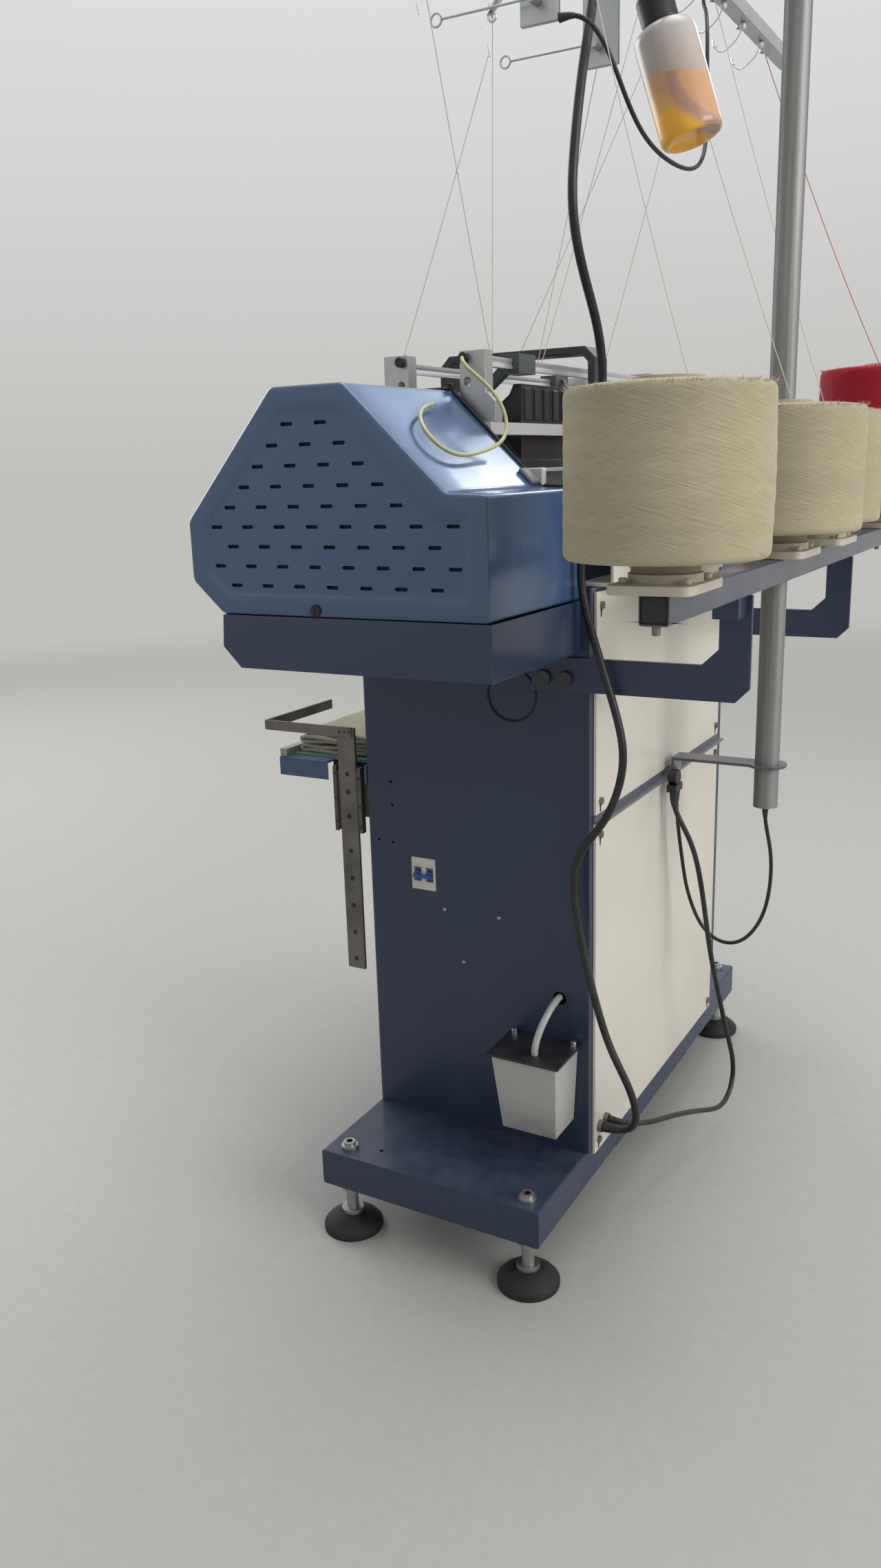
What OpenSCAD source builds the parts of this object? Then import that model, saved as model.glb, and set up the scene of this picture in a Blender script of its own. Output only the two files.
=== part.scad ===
/* [Base] */
// Distance between the outer faces of the two columns
column_span = 530; // [500:10:560]
// Depth of a column from its front to its back
column_d = 327; // [310:1:340]
// Width of a column along the needle bed
column_w = 110; // [90:1:130]
// Thickness of the column's sheet steel
sheet_t = 3; // [2:0.5:4]
// How far each foot of the base runs out past its column
foot_reach = 149; // [130:1:160]
// Height of the base frame's box section
base_h = 50; // [40:1:60]
// Height of the underside of the base above the floor
base_z = 69; // [62:1:80]
// Diameter of a levelling pad
pad_d = 80; // [70:1:90]
// Diameter of a levelling stud
stud_d = 16; // [12:1:18]

/* [Head] */
// Height of the top of the columns, under the bed beam
column_top = 860; // [840:5:880]
// Height of the needle gap between the two beds
gap_z = 1040; // [1030:1:1050]
// Length of a needle bed down its slope
bed_len = 136; // [125:1:140]
// Thickness of a needle bed
bed_t = 14; // [12:1:16]
// Pitch of the needle grooves
needle_pitch = 9; // [8:1:12]
// Diameter of the carriage guide rods
guide_d = 18; // [14:1:20]
// Height of the yarn feeder rails
feeder_z = 1120; // [1116:1:1124]
// Radius of the belt pulleys
pulley_r = 24; // [20:1:28]
// Outer width of the toothed belt
belt_w = 14; // [10:1:18]

/* [Cover] */
// Length of the near end cover
cover_len = 230; // [215:5:260]
// Thickness of the cover's sheet
cover_t = 2; // [1.5:0.5:3]
// Height of the tray under the cover
tray_h = 61; // [50:1:70]
// Length of one vent slot
slot_len = 15.5; // [12:0.5:18]
// Height of one vent slot
slot_h = 4; // [3:0.5:5]

/* [Yarn table] */
// Thickness of the table arms' plate
arm_t = 6; // [4:0.5:8]
// Side of the square table tube
tube_side = 29; // [25:1:30]
// Length of the square table tube
tube_len = 1092; // [1060:2:1120]
// Height of the underside of the table tube
tube_z = 857; // [848:1:866]
// Radius of a cream yarn package
package_r = 93; // [85:1:96]
// Height of a cream yarn package
package_h = 150; // [140:1:160]
// Diameter of the pole
pole_d = 32; // [28:1:34]
// Height of the top of the pole
pole_top = 1620; // [1600:5:1700]

/* [Front] */
// Width of the telescopic slide
slide_w = 45; // [42:1:46]
// Length of the sliding bar
slide_bar_len = 350; // [320:5:360]
// Height of the front tray's channel
tray_front_h = 26; // [20:1:32]

/* [Hidden] */
$fn = 48;

// Clearance between faces that only rest against each other
seat = 0.3;
// Radial clearance of a running fit
run_fit = 0.05;
outer_x = column_span / 2;
inner_x = outer_x - column_w;
back_y = 140;
front_y = back_y - column_d;
base_top = base_z + base_h;
foot_x = outer_x + foot_reach;
bed_y = -90;
head_near = outer_x;
head_far = -330;
plate_t = 12;
cover_end = outer_x + cover_len;
tray_top = 845;
tray_z = tray_top - tray_h;
cover_z = tray_top + seat;
stud_x = foot_x - 21.5;
stud_front_y = -157;
stud_back_y = 107;
pulley_y = 60;
pulley_z = 905;
pulley_near_x = 370;
pulley_far_x = -410;
tube_y = 298;
pole_y = tube_y - pole_d / 2 - seat;
package_z = 915;
package_y = tube_y + tube_side / 2;
package_red_r = 97;
package_near_x = 515;
tie_z = 575;
tie_h = 9;
bar_z = pole_top - 60;
feeder_rear_y = -9;
feeder_front_y = -132;
guide_dy = 100;
guide_z = gap_z - guide_dy - 30;
roller_z = 720;
roller_r = 22;
slide_y = -244;
slide_x = outer_x - 12;
bar_y = slide_y + slide_w / 2 - 14;
press_front_y = -354.5;
tray_front_z = 590;
tray_front_top = tray_front_z + tray_front_h;
press_z = 652;
slots_in_row = [2, 3, 4, 5, 6, 8, 7, 8, 7];
lock_y = -90.5;
lock_z = cover_z + 7.7;
slot_pitch = 43.4;
slot_row_pitch = 21.4;
slot_top_z = 1049.5;

// Point on a line from a to b
function mix2(a, b, s) = a * (1 - s) + b * s;
// One corner of an outline, rounded by a curve that starts and ends at distance d from it
function corner(a, p, b, d, n) = [
    for (i = [0 : n])
        let (s = i / n, u = p + d * (a - p) / norm(a - p), v = p + d * (b - p) / norm(b - p))
        mix2(mix2(u, p, s), mix2(p, v, s), s)
];
// A closed outline with every corner rounded
function rounded(pts, d, n = 5) = [
    for (i = [0 : len(pts) - 1])
        each corner(pts[(i + len(pts) - 1) % len(pts)], pts[i], pts[(i + 1) % len(pts)], d, n)
];
// Unit normal of an edge, on its left side
function left(a, b) = [a[1] - b[1], b[0] - a[0]] / norm(b - a);
// A counter-clockwise outline moved inwards by t
function inset(pts, t) = [
    for (i = [0 : len(pts) - 1])
        let (
            a = pts[(i + len(pts) - 1) % len(pts)],
            p = pts[i],
            b = pts[(i + 1) % len(pts)],
            m = left(a, p),
            n = left(p, b)
        )
        p + (m + n) * t / (1 + m * n)
];

// Extrudes an outline drawn in Y and Z along X
module along_x(x0, length) {
    translate([x0, 0, 0]) rotate([90, 0, 90]) linear_extrude(length) children();
}

// Extrudes an outline drawn in X and Z along Y
module along_y(y0, length) {
    translate([0, y0 + length, 0]) rotate([90, 0, 0]) linear_extrude(length) children();
}

// A cylinder along X
module rod_x(x0, length, y, z, r) {
    translate([x0, y, z]) rotate([0, 90, 0]) cylinder(h = length, r = r);
}

// A cylinder along Y
module rod_y(x, y0, length, z, r) {
    translate([x, y0, z]) rotate([-90, 0, 0]) cylinder(h = length, r = r);
}

// A box from its lowest corner to its highest corner
module span_box(a, b) {
    translate(a) cube(b - a);
}

// Mirrors its children to the far side as well
module both_ends() {
    children();
    mirror([1, 0, 0]) children();
}

// Points of a smooth curve through a cord's hand-picked route
function bend(a, b, c, d, s) = 0.5 * (2 * b + (c - a) * s + (2 * a - 5 * b + 4 * c - d) * s * s
    + (3 * b - a - 3 * c + d) * s * s * s);
function route(p, n) = [
    for (i = [0 : len(p) - 2], k = [0 : n - 1])
        bend(p[max(i - 1, 0)], p[i], p[i + 1], p[min(i + 2, len(p) - 1)], k / n),
    p[len(p) - 1]
];
function unit(v) = v / norm(v);
function side_of(t) = unit(abs(t[2]) > 0.9 ? cross(t, [0, 1, 0]) : cross(t, [0, 0, 1]));
// A cord of radius r swept along a route, as rings of m points
module cord(points, r, n = 2, m = 8) {
    p = route(points, n);
    last = len(p) - 1;
    sides = [for (i = [0 : last]) side_of(unit(p[min(i + 1, last)] - p[max(i - 1, 0)]))];
    rings = [
        for (i = [0 : last], k = [0 : m - 1])
            let (
                t = unit(p[min(i + 1, last)] - p[max(i - 1, 0)]),
                u = sides[i],
                w = cross(t, u)
            )
            p[i] + r * (u * cos(360 * k / m) + w * sin(360 * k / m))
    ];
    walls = [
        for (i = [0 : last - 1], k = [0 : m - 1])
            let (a = i * m + k, b = i * m + (k + 1) % m)
            each [[a, b, b + m], [a, b + m, a + m]]
    ];
    ends = [[for (k = [m - 1 : -1 : 0]) k], [for (k = [0 : m - 1]) last * m + k]];
    polyhedron(
        points = rings,
        faces = [for (f = concat(walls, ends)) [for (j = [len(f) - 1 : -1 : 0]) f[j]]]
    );
}

main_route = [
    [290, 160, 1557], [291, 160, 1545], [296, 160, 1532], [318, 164, 1500], [340, 168, 1435],
    [368, 169, 1368], [386, 169, 1304],
    [393, 169, 1241], [362, 169, 1183], [317, 168, 1141], [306, 166, 1079], [292, 146, 970],
    [286, 133, 873], [285, 150, 800], [285, 177, 715], [285, 186, 658], [285, 165, 589],
    [285, 130, 540], [285, 124, 495], [285, 134, 425], [285, 152, 354], [285, 164, 262],
    [281, 168, 195], [268, 168, 164], [252, 158, 156], [250, 150.6, 156]
];
panel_route = [
    [27, 162, 557.4], [27, 163, 546], [26, 182, 516], [10, 200, 416], [0, 214, 310], [-60, 228, 130],
    [-84, 230, 84], [-50, 230, 70], [40, 218, 96], [150, 196, 140], [205, 176, 158],
    [229, 160, 156], [230, 150.6, 156]
];
pole_route = [
    [0, 282, 544], [-4, 292, 466], [-6, 286, 395], [-12, 262, 348], [-14, 234, 330],
    [-12, 200, 346], [-6, 176, 400], [2, 168, 456], [12, 164, 510], [14, 162, 557.4]
];
hose_route = [
    [380, 150.4, 1412], [380, 157, 1412], [382, 176, 1398], [352, 190, 1372], [318, 200, 1331],
    [262, 206, 1313],
    [173, 210, 1310], [130, 212, 1320], [92, 206, 1351], [79, 200, 1418], [72, 198, 1470],
    [40, 186, 1515], [-6, 170, 1540], [-20, 162, 1551], [-20, 162, 1557.6]
];
oil_route = [
    [263.4, -27, 1124], [267, -27, 1124], [271, -20, 1119], [272, -4, 1104], [272, 19, 1084],
    [274, 32, 1063], [278, 36, 1045],
    [294, 36, 1030], [343, 42, 1018], [392, 46, 1015], [423, 45, 1016], [439, 38, 1023],
    [436, 24, 1036], [419, 9, 1050], [384, -8, 1066], [356, -14, 1069]
];
waste_route = [[319, 84, 276], [316, 88, 296], [304, 92, 316], [286, 94, 330], [264, 95, 336]];

// The base: two feet under the columns, joined by rails along the front and back
module base_frame() {
    color("#2c4f94") difference() {
        union() {
            both_ends() along_x(inner_x, foot_x - inner_x) polygon(rounded([
                [front_y - 1, base_z], [back_y - 8, base_z], [back_y - 8, base_top], [front_y - 1, base_top]
            ], 4));
            span_box([-inner_x, back_y - 58, base_z], [inner_x, back_y - 8, base_top]);
            span_box([-inner_x, front_y + 8, base_z], [inner_x, front_y + 58, base_top]);
        }
        for (sx = [-1, 1], y = [stud_front_y, stud_back_y])
            translate([sx * stud_x, y, base_z - 1]) cylinder(h = base_h + 2, r = stud_d / 2 + run_fit);
        translate([foot_x - 33, -114, base_top - 6]) cylinder(h = 7, r = 3);
    }
}

// Four rubber pads, domed, each with a steel boss seat
module leveling_pads() {
    color("#1b1c1e") for (sx = [-1, 1], y = [stud_front_y, stud_back_y])
        translate([sx * stud_x, y, 0]) rotate_extrude() polygon([
            [0, 0], [pad_d / 2, 0], [pad_d / 2, 7], [pad_d / 2 - 4, 12], [pad_d / 2 - 14, 20],
            [pad_d / 2 - 24, 24], [0, 24]
        ]);
}

// Studs with a flange, a lock nut under the base and a hexagon socket in the top
module leveling_studs() {
    color("#c3c6ca") for (sx = [-1, 1], y = [stud_front_y, stud_back_y])
        translate([sx * stud_x, y, 24]) difference() {
            union() {
                cylinder(h = base_top - 24 + 10, r = stud_d / 2);
                cylinder(h = 6, r = 15);
                translate([0, 0, base_z - 24 - 13]) cylinder(h = 13, r = 13, $fn = 6);
                translate([0, 0, base_top - 24]) cylinder(h = 5, r = 11.5);
            }
            translate([0, 0, base_top - 24 + 4]) cylinder(h = 7, r = 4.6, $fn = 6);
        }
}

// One column: a folded box, open inside, with a bearing boss for the take-down rollers
module column_shell() {
    difference() {
        translate([0, 0, base_top]) linear_extrude(column_top - base_top) difference() {
            polygon(rounded([
                [inner_x, front_y], [outer_x, front_y], [outer_x, back_y], [inner_x, back_y]
            ], 5));
            polygon([
                [inner_x + sheet_t, front_y + sheet_t], [outer_x - sheet_t, front_y + sheet_t],
                [outer_x - sheet_t, back_y - sheet_t], [inner_x + sheet_t, back_y - sheet_t]
            ]);
        }
        for (s = [0, 1]) rod_x(inner_x - 1, sheet_t + 2, roller_y(s), roller_z, 11);
    }
    for (s = [0, 1]) difference() {
        rod_x(inner_x - 6, 18, roller_y(s), roller_z, 17);
        rod_x(inner_x - 7, 20, roller_y(s), roller_z, 8 + run_fit);
    }
}
function roller_y(s) = bed_y + (s == 0 ? roller_r + 0.5 : -roller_r - 0.5);

module column_near() {
    color("#2b4a8a") difference() {
        column_shell();
        span_box([outer_x - 5, breaker_y, breaker_z], [outer_x + 1, breaker_y + 36, breaker_z + 45]);
        rod_x(outer_x - 5, 6, 95, 334, 9);
        rod_x(outer_x - 1, 2, 32.5, 727, 33);
        for (p = [[-72, 429], [9, 430], [-45, 358], [-149, 598], [-148, 566], [-171, 515], [-149, 514]])
            rod_x(outer_x - 5, 6, p[0], p[1], 2);
        for (y = [80, 108]) rod_x(outer_x - 5, 6, y, 753, 4);
    }
    color("#2b4a8a") rod_x(outer_x - 2.5, 1.5, 32.5, 727, 29);
}
breaker_y = -120;
breaker_z = 453;

module column_far() {
    color("#2b4a8a") mirror([1, 0, 0]) difference() {
        column_shell();
        for (y = [80, 108]) rod_x(outer_x - 5, 6, y, 753, 4);
    }
}

// The ledge that ties the columns across the back, between the two panels
module back_tie() {
    color("#33508c") along_x(-outer_x + 30, column_span - 30) polygon([
        [back_y + seat, tie_z], [back_y + 14, tie_z], [back_y + 14, tie_z + 3],
        [back_y + 3.3, tie_z + 3], [back_y + 3.3, tie_z + tie_h], [back_y + seat, tie_z + tie_h]
    ]);
}

gland_z = 156;
// A flat panel with folded edges, set on the back of the columns
module back_panel(z0, z1) {
    color("#e9e2cf") difference() {
        span_box([-outer_x + 30, back_y + seat, z0], [outer_x - 1, back_y + 4, z1]);
        for (x = [-outer_x + 44, outer_x - 14], z = [z0 + 16, z1 - 16])
            rod_y(x, back_y - 1, 8, z, 2.7);
    }
}
upper_z0 = tie_z + tie_h + 1;
upper_z1 = 855;
lower_z0 = base_top + 2;
lower_z1 = tie_z - 1;
module upper_back_panel() { back_panel(upper_z0, upper_z1); }
module lower_back_panel() { back_panel(lower_z0, lower_z1); }

module panel_fittings() {
    color("#17181a") for (x = [250, 230]) rod_y(x, back_y + 4, 6, gland_z, 8);
    color("#6b6e72") for (x = [-outer_x + 44, outer_x - 14])
        for (z = [upper_z0 + 16, upper_z1 - 16, lower_z0 + 16, lower_z1 - 16]) {
            rod_y(x, back_y + 4, 3.5, z, 4.5);
            rod_y(x, back_y + 0.5, 4, z, 2.6);
        }
}

hood_z = column_top + seat;
// The cream hood over the back of the head
module back_hood() {
    color("#e8e1d0") difference() {
        along_x(head_far + plate_t + seat, head_near - head_far - 2 * plate_t - 2 * seat) polygon([
            [112, hood_z], [back_y + 20, hood_z], [back_y + 20, 980], [back_y + 8, 996], [64, 996],
            [64, 992], [back_y + 5, 992], [back_y + 16, 978], [back_y + 16, hood_z + 4],
            [112, hood_z + 4]
        ]);
        for (x = [-200, 200]) rod_y(x, back_y + 10, 20, 880, 3);
    }
}

// The front panel between the columns, below the tray
module front_panel() {
    color("#33549c") difference() {
        span_box([-outer_x + 8, front_y - 4, base_top + 4], [outer_x - 8, front_y - seat, 560]);
        for (x = [-outer_x + 20, outer_x - 20], z = [140, 540]) rod_y(x, front_y - 6, 8, z, 2.6);
    }
}

// Draws its children for the rear bed, and mirrored for the front bed
module both_beds() {
    translate([0, bed_y, 0]) {
        children();
        mirror([0, 1, 0]) children();
    }
}

// The bed beam: two carriers with the fabric slot between them, joined over the columns
module bed_beam() {
    color("#24396b") {
        both_beds() along_x(head_far + plate_t, head_near - head_far - 2 * plate_t) polygon([
            [5, gap_z - 25], [5, 940], [18, 920], [18, column_top], [84, column_top],
            [84, gap_z - 104]
        ]);
        for (x = [[head_far + plate_t, -inner_x], [inner_x, head_near - plate_t]])
            span_box([x[0], bed_y - 18, column_top], [x[1], bed_y + 18, 920]);
    }
}

// Outline of an end plate, inside the cover's outline
plate_outline = [
    [-248, column_top + seat], [118, column_top + seat], [118, 958], [60, 962], [14, 1014],
    [14, 1036], [-194, 1036], [-194, 1014], [-248, 948]
];
module end_plates() {
    color("#3a4046") for (x = [head_far, head_near - plate_t]) difference() {
        along_x(x, plate_t) polygon(rounded(plate_outline, 6));
        span_box([x - 1, pulley_y - 6, pulley_z - pulley_r - 8],
            [x + plate_t + 1, pulley_y + belt_w + 6, pulley_z + pulley_r + 8]);
        for (s = [-1, 1]) rod_x(x - 1, plate_t + 2, bed_y + s * guide_dy, guide_z, guide_d / 2 + run_fit);
    }
    color("#3a4046") {
        span_box([pulley_far_x - 14, pulley_y - 16, pulley_z - 12],
            [head_far + 1, pulley_y - 8, pulley_z + 12]);
        rod_y(pulley_far_x, pulley_y - 10, belt_w + 14, pulley_z, 6 - run_fit);
    }
}

bed_x0 = head_far + plate_t + 30;
bed_x1 = head_near - plate_t - 30;
groove_d = 3.5;
// Places its children on a bed: X along the bed, Y down its slope, Z out of it
module on_bed() {
    translate([0, 3, gap_z - 3]) rotate([-45, 0, 0]) children();
}

// The beds: sloping plates with a needle groove at every pitch
module needle_beds() {
    color("#aab0b6") both_beds() on_bed() difference() {
        span_box([bed_x0, 0, -bed_t], [bed_x1, bed_len, 0]);
        rotate([45, 0, 0]) translate([bed_x0 - 1, -20, -30]) cube([bed_x1 - bed_x0 + 2, 20, 40]);
        for (x = [bed_x0 + 6 : needle_pitch : bed_x1 - 6])
            span_box([x - 1.2, -1, -groove_d], [x + 1.2, bed_len + 1, 1]);
    }
}

// Needles: a shank in each groove, with a butt that stands up for the cams
module needles() {
    color("#d4d7da") both_beds() on_bed() for (x = [bed_x0 + 6 : needle_pitch : bed_x1 - 6]) {
        span_box([x - 0.8, 4, -groove_d], [x + 0.8, bed_len - 30, -0.5]);
        span_box([x - 0.8, 60, -1], [x + 0.8, 65, 4]);
    }
}

// Two chrome rods for the carriage, and the two bright bars that carry the feeder brackets
module guide_rails() {
    color("#c9ccd0") {
        for (s = [-1, 1]) {
            rod_x(head_far, head_near - head_far, bed_y + s * guide_dy, guide_z, guide_d / 2);
            span_box([head_far, bed_y + s * 90 - 10, 1036], [head_near, bed_y + s * 90 + 10, 1050]);
        }
    }
}

// An upright block whose foot reaches out to the bar below, bored for its oil fitting
module feeder_bracket(x, y, s, foot) {
    difference() {
        along_x(x, bracket_t) polygon([
            [y - s * 26, 1050], [y + s * foot, 1050], [y + s * foot, 1074], [y + s * (foot - 10), 1084],
            [y + s * 8, 1084], [y + s * 8, 1132], [y - s * 26, 1132]
        ]);
        rod_x(x - 1, bracket_t + 2, y - s * 16, 1097, 5);
        translate([x + bracket_t / 2, y + s * (foot - 8), 1062]) cylinder(h = 30, r = 3.5, $fn = 24);
    }
}
bracket_t = 20;
bracket_near_x = head_near - 30;
bracket_far_x = head_far + 10;
module feeder_brackets() {
    color("#c6c9c8") for (x = [bracket_near_x, bracket_far_x]) {
        feeder_bracket(x, feeder_rear_y, 1, 20);
        feeder_bracket(x, feeder_front_y, -1, 58);
    }
    color("#17181a") {
        rod_x(bracket_near_x + bracket_t, 8, feeder_rear_y - 18, 1124, 6);
        rod_x(bracket_near_x + bracket_t, 8, feeder_front_y + 18, 1124, 6);
    }
}

// Two bright feeder rails with a groove down each side
module feeder_rails() {
    color("#d3d6d9") for (y = [feeder_rear_y, feeder_front_y])
        along_x(bracket_far_x + 20, bracket_near_x - bracket_far_x - 20) polygon([
            [y - 4, feeder_z - 6], [y + 4, feeder_z - 6], [y + 4, feeder_z - 2], [y + 2.4, feeder_z],
            [y + 4, feeder_z + 2], [y + 4, feeder_z + 6], [y - 4, feeder_z + 6], [y - 4, feeder_z + 2],
            [y - 2.4, feeder_z], [y - 4, feeder_z - 2]
        ]);
}

// A feeder: a block round its rail, and an arm that leads the yarn to the needle gap
module yarn_feeder(x, y, s) {
    difference() {
        span_box([x - 24, y - 13, feeder_z - 11], [x + 24, y + 13, feeder_z + 12]);
        span_box([x - 25, y - 4 - seat, feeder_z - 6 - seat], [x + 25, y + 4 + seat, feeder_z + 6 + seat]);
    }
    reach = abs(y - bed_y);
    translate([0, bed_y, 0]) mirror([0, s > 0 ? 0 : 1, 0]) along_x(x - 6, 12) polygon([
        [reach - 13, feeder_z - 9], [reach - 13, feeder_z + 6], [reach - 17, feeder_z + 6],
        [0.7, 1068], [0.7, 1044], [3, 1044], [4, 1060]
    ]);
}
module yarn_feeder_rear() { color("#3c4a48") yarn_feeder(150, feeder_rear_y, 1); }
module yarn_feeder_front() { color("#3c4a48") yarn_feeder(-235, feeder_front_y, -1); }

carriage_x = 40;
carriage_len = 220;
arm_foot_z = gap_z + 20;
// Carriage: a cam box over each bed on the guide rods, and a clamp that grips the belt
module carriage_body() {
    color("#1d1f22") {
        difference() {
            union() both_beds() {
                along_x(carriage_x - carriage_len / 2, carriage_len) polygon([
                    [16, gap_z - 7], [22, gap_z + 6], [36, gap_z + 6], [74, gap_z - 34],
                    [106, gap_z - 74], [106, 950], [122, 950], [122, guide_z - 18],
                    [106, guide_z - 20], [100.5, guide_z + 34], [98, gap_z - 88]
                ]);
                along_x(carriage_x - 90, 175) polygon([
                    [23, gap_z + 5], [30, arm_foot_z + 7], [56, arm_foot_z + 28], [62, feeder_z - 20],
                    [73, feeder_z - 20], [73, gap_z - 34], [36, gap_z + 5]
                ]);
                for (k = [0 : 5]) along_x(carriage_x - 84 + 29 * k, 18) polygon([
                    [72, gap_z + 16], [76, gap_z + 16], [76, feeder_z - 26], [72, feeder_z - 24]
                ]);
            }
            both_beds() rod_x(carriage_x - 200, 400, guide_dy, guide_z, guide_d / 2 + 0.08);
        }
        span_box([carriage_x - 30, bed_y + 122, pulley_z + pulley_r + seat],
            [carriage_x + 30, pulley_y + belt_w, pulley_z + pulley_r + 10]);
    }
}

// The bridge that joins the cam boxes over the feeder rails
module carriage_bridge() {
    color("#8f9498") along_x(carriage_x - 92, 44) translate([bed_y, 0]) polygon([
        [-119, 950], [-108, 950], [-108, feeder_z + 12], [-98, feeder_z + 22], [98, feeder_z + 22],
        [108, feeder_z + 12], [108, 950], [119, 950], [119, feeder_z + 17], [104, feeder_z + 32],
        [-104, feeder_z + 32], [-119, feeder_z + 17]
    ]);
}

// The carriage motor on a plate in the near cover
module drive_motor() {
    color("#26282b") {
        span_box([pulley_near_x - 32, pulley_y - 112, pulley_z - 32],
            [pulley_near_x + 32, pulley_y - 10, pulley_z + 32]);
        rod_y(pulley_near_x, pulley_y - 10, 7, pulley_z, 14);
        rod_y(pulley_near_x, pulley_y - 10, belt_w + 14, pulley_z, 5 - run_fit);
        span_box([pulley_near_x - 40, pulley_y - 104, tray_z + 2 + seat],
            [pulley_near_x + 40, pulley_y - 14, pulley_z - 32]);
    }
}

// A toothed pulley with flanges
module pulley(x, bore) {
    difference() {
        union() {
            rod_y(x, pulley_y, belt_w, pulley_z, pulley_r - 2);
            rod_y(x, pulley_y - 1.5, 1.5, pulley_z, pulley_r + 1);
            rod_y(x, pulley_y + belt_w, 1.5, pulley_z, pulley_r + 1);
        }
        rod_y(x, pulley_y - 3, belt_w + 6, pulley_z, bore);
    }
}
module drive_pulley() { color("#a9adb1") pulley(pulley_near_x, 5); }
module idler_pulley() { color("#a9adb1") pulley(pulley_far_x, 6); }

// The belt as a closed loop round both pulleys
module drive_belt() {
    color("#161718") along_y(pulley_y + 0.5, belt_w - 1) difference() {
        union() {
            translate([pulley_far_x, pulley_z]) circle(r = pulley_r);
            translate([pulley_near_x, pulley_z]) circle(r = pulley_r);
            translate([pulley_far_x, pulley_z - pulley_r])
                square([pulley_near_x - pulley_far_x, 2 * pulley_r]);
        }
        translate([pulley_far_x, pulley_z]) circle(r = pulley_r - 2 + run_fit);
        translate([pulley_near_x, pulley_z]) circle(r = pulley_r - 2 + run_fit);
        translate([pulley_far_x, pulley_z - pulley_r + 2 - run_fit])
            square([pulley_near_x - pulley_far_x, 2 * pulley_r - 4 + 2 * run_fit]);
    }
}

// The tray under an end cover, open at the top, with a chamfered front edge
tray_outline = [
    [-200, tray_z], [back_y - 16, tray_z], [back_y - 16, tray_top], [-221, tray_top], [-224, tray_z + 24]
];
module cover_tray(x0, length) {
    inner = inset(tray_outline, 2);
    difference() {
        along_x(x0, length) polygon(tray_outline);
        along_x(x0 + 2, length - 4) polygon([
            inner[0], inner[1], [inner[2][0], tray_top + 1], [inner[3][0], tray_top + 1], inner[4]
        ]);
    }
}
module tray_near() { color("#25427f") cover_tray(outer_x + seat, cover_len - seat); }
module tray_far() { color("#25427f") cover_tray(-cover_end, cover_len - seat); }

// Outline of an end cover: a six-sided hood with a low box behind it
cover_outline = [
    [-221, cover_z], [back_y - 18, cover_z], [back_y - 18, 973], [74, 975.5], [-43.5, 1088],
    [-136, 1088], [-262, 950], [-262, cover_z + 37]
];
// Rows of vent slots, drawn in Y and Z
module vent_slots() {
    for (row = [0 : 8], k = [0 : slots_in_row[row] - 1])
        translate([slot_start[row] + slot_pitch * k, slot_top_z - slot_row_pitch * row])
            polygon(rounded([
                [-slot_len / 2, -slot_h / 2], [slot_len / 2, -slot_h / 2],
                [slot_len / 2, slot_h / 2], [-slot_len / 2, slot_h / 2]
            ], slot_h * 0.4, 2));
}
slot_start = [-117, -138, -159, -179.5, -201, -221.5, -200, -220, -198.5];

// The hood: a folded shell, open below and towards the head, with a pressed field of slots
module end_cover(length) {
    outer = rounded(cover_outline, 7);
    difference() {
        along_x(0, length) polygon(outer);
        along_x(-1, length - 3) polygon(rounded(inset(cover_outline, cover_t), 6));
        span_box([-1, -218, cover_z - 5], [length - 4, back_y - 22, cover_z + 6]);
        along_x(length - 1.2, 3) polygon(rounded(inset(cover_outline, 24), 8));
        along_x(length - 6, 8) vent_slots();
        rod_x(length - 6, 8, lock_y, lock_z, 5);
    }
}
module cover_near() {
    color("#3f6fc0") translate([head_near + 2, 0, 0]) end_cover(cover_end - head_near - 2);
    color("#15171a") along_x(head_near + seat, 1.5) polygon([
        [66, 981], [74, 974], [76, 978], [-40, 1089], [-46, 1089], [-46, 1086]
    ]);
}
module cover_far() {
    color("#3f6fc0") translate([head_far - 2, 0, 0]) mirror([1, 0, 0])
        end_cover(cover_end + head_far - 2);
}

// The cover's lock: a barrel through the end face with a cam behind it
module cover_lock() {
    color("#6f747a") {
        difference() {
            union() {
                rod_x(cover_end - 8, 9, lock_y, lock_z, 5 - run_fit);
                rod_x(cover_end + seat, 2.5, lock_y, lock_z, 6.5);
            }
            span_box([cover_end + 1.4, lock_y - 0.6, lock_z - 4], [cover_end + 4, lock_y + 0.6, lock_z + 4]);
        }
        span_box([cover_end - 7.6, lock_y - 4, lock_z - 18.5], [cover_end - 4.6, lock_y + 4, lock_z + 4]);
    }
}

// A two-pole breaker set in the column's wall
module breaker() {
    color("#e6e8ea") difference() {
        span_box([outer_x - 40, breaker_y + seat, breaker_z + seat],
            [outer_x + 2, breaker_y + 36 - seat, breaker_z + 45 - seat]);
        for (y = [breaker_y + 9, breaker_y + 27])
            span_box([outer_x - 8, y - 6, breaker_z + 12], [outer_x + 3, y + 6, breaker_z + 32]);
    }
}
toggle_z = breaker_z + 22;
module breaker_toggle() {
    color("#2d57a8") {
        for (y = [breaker_y + 9, breaker_y + 27]) {
            rod_y(outer_x - 3, y - 5.7, 11.4, toggle_z, 4);
            span_box([outer_x - 3, y - 4, toggle_z - 3.8], [outer_x + 8, y + 4, toggle_z + 1]);
        }
        span_box([outer_x + 4, breaker_y + 9, toggle_z - 3.8], [outer_x + 8, breaker_y + 27, toggle_z + 1]);
    }
}

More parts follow.
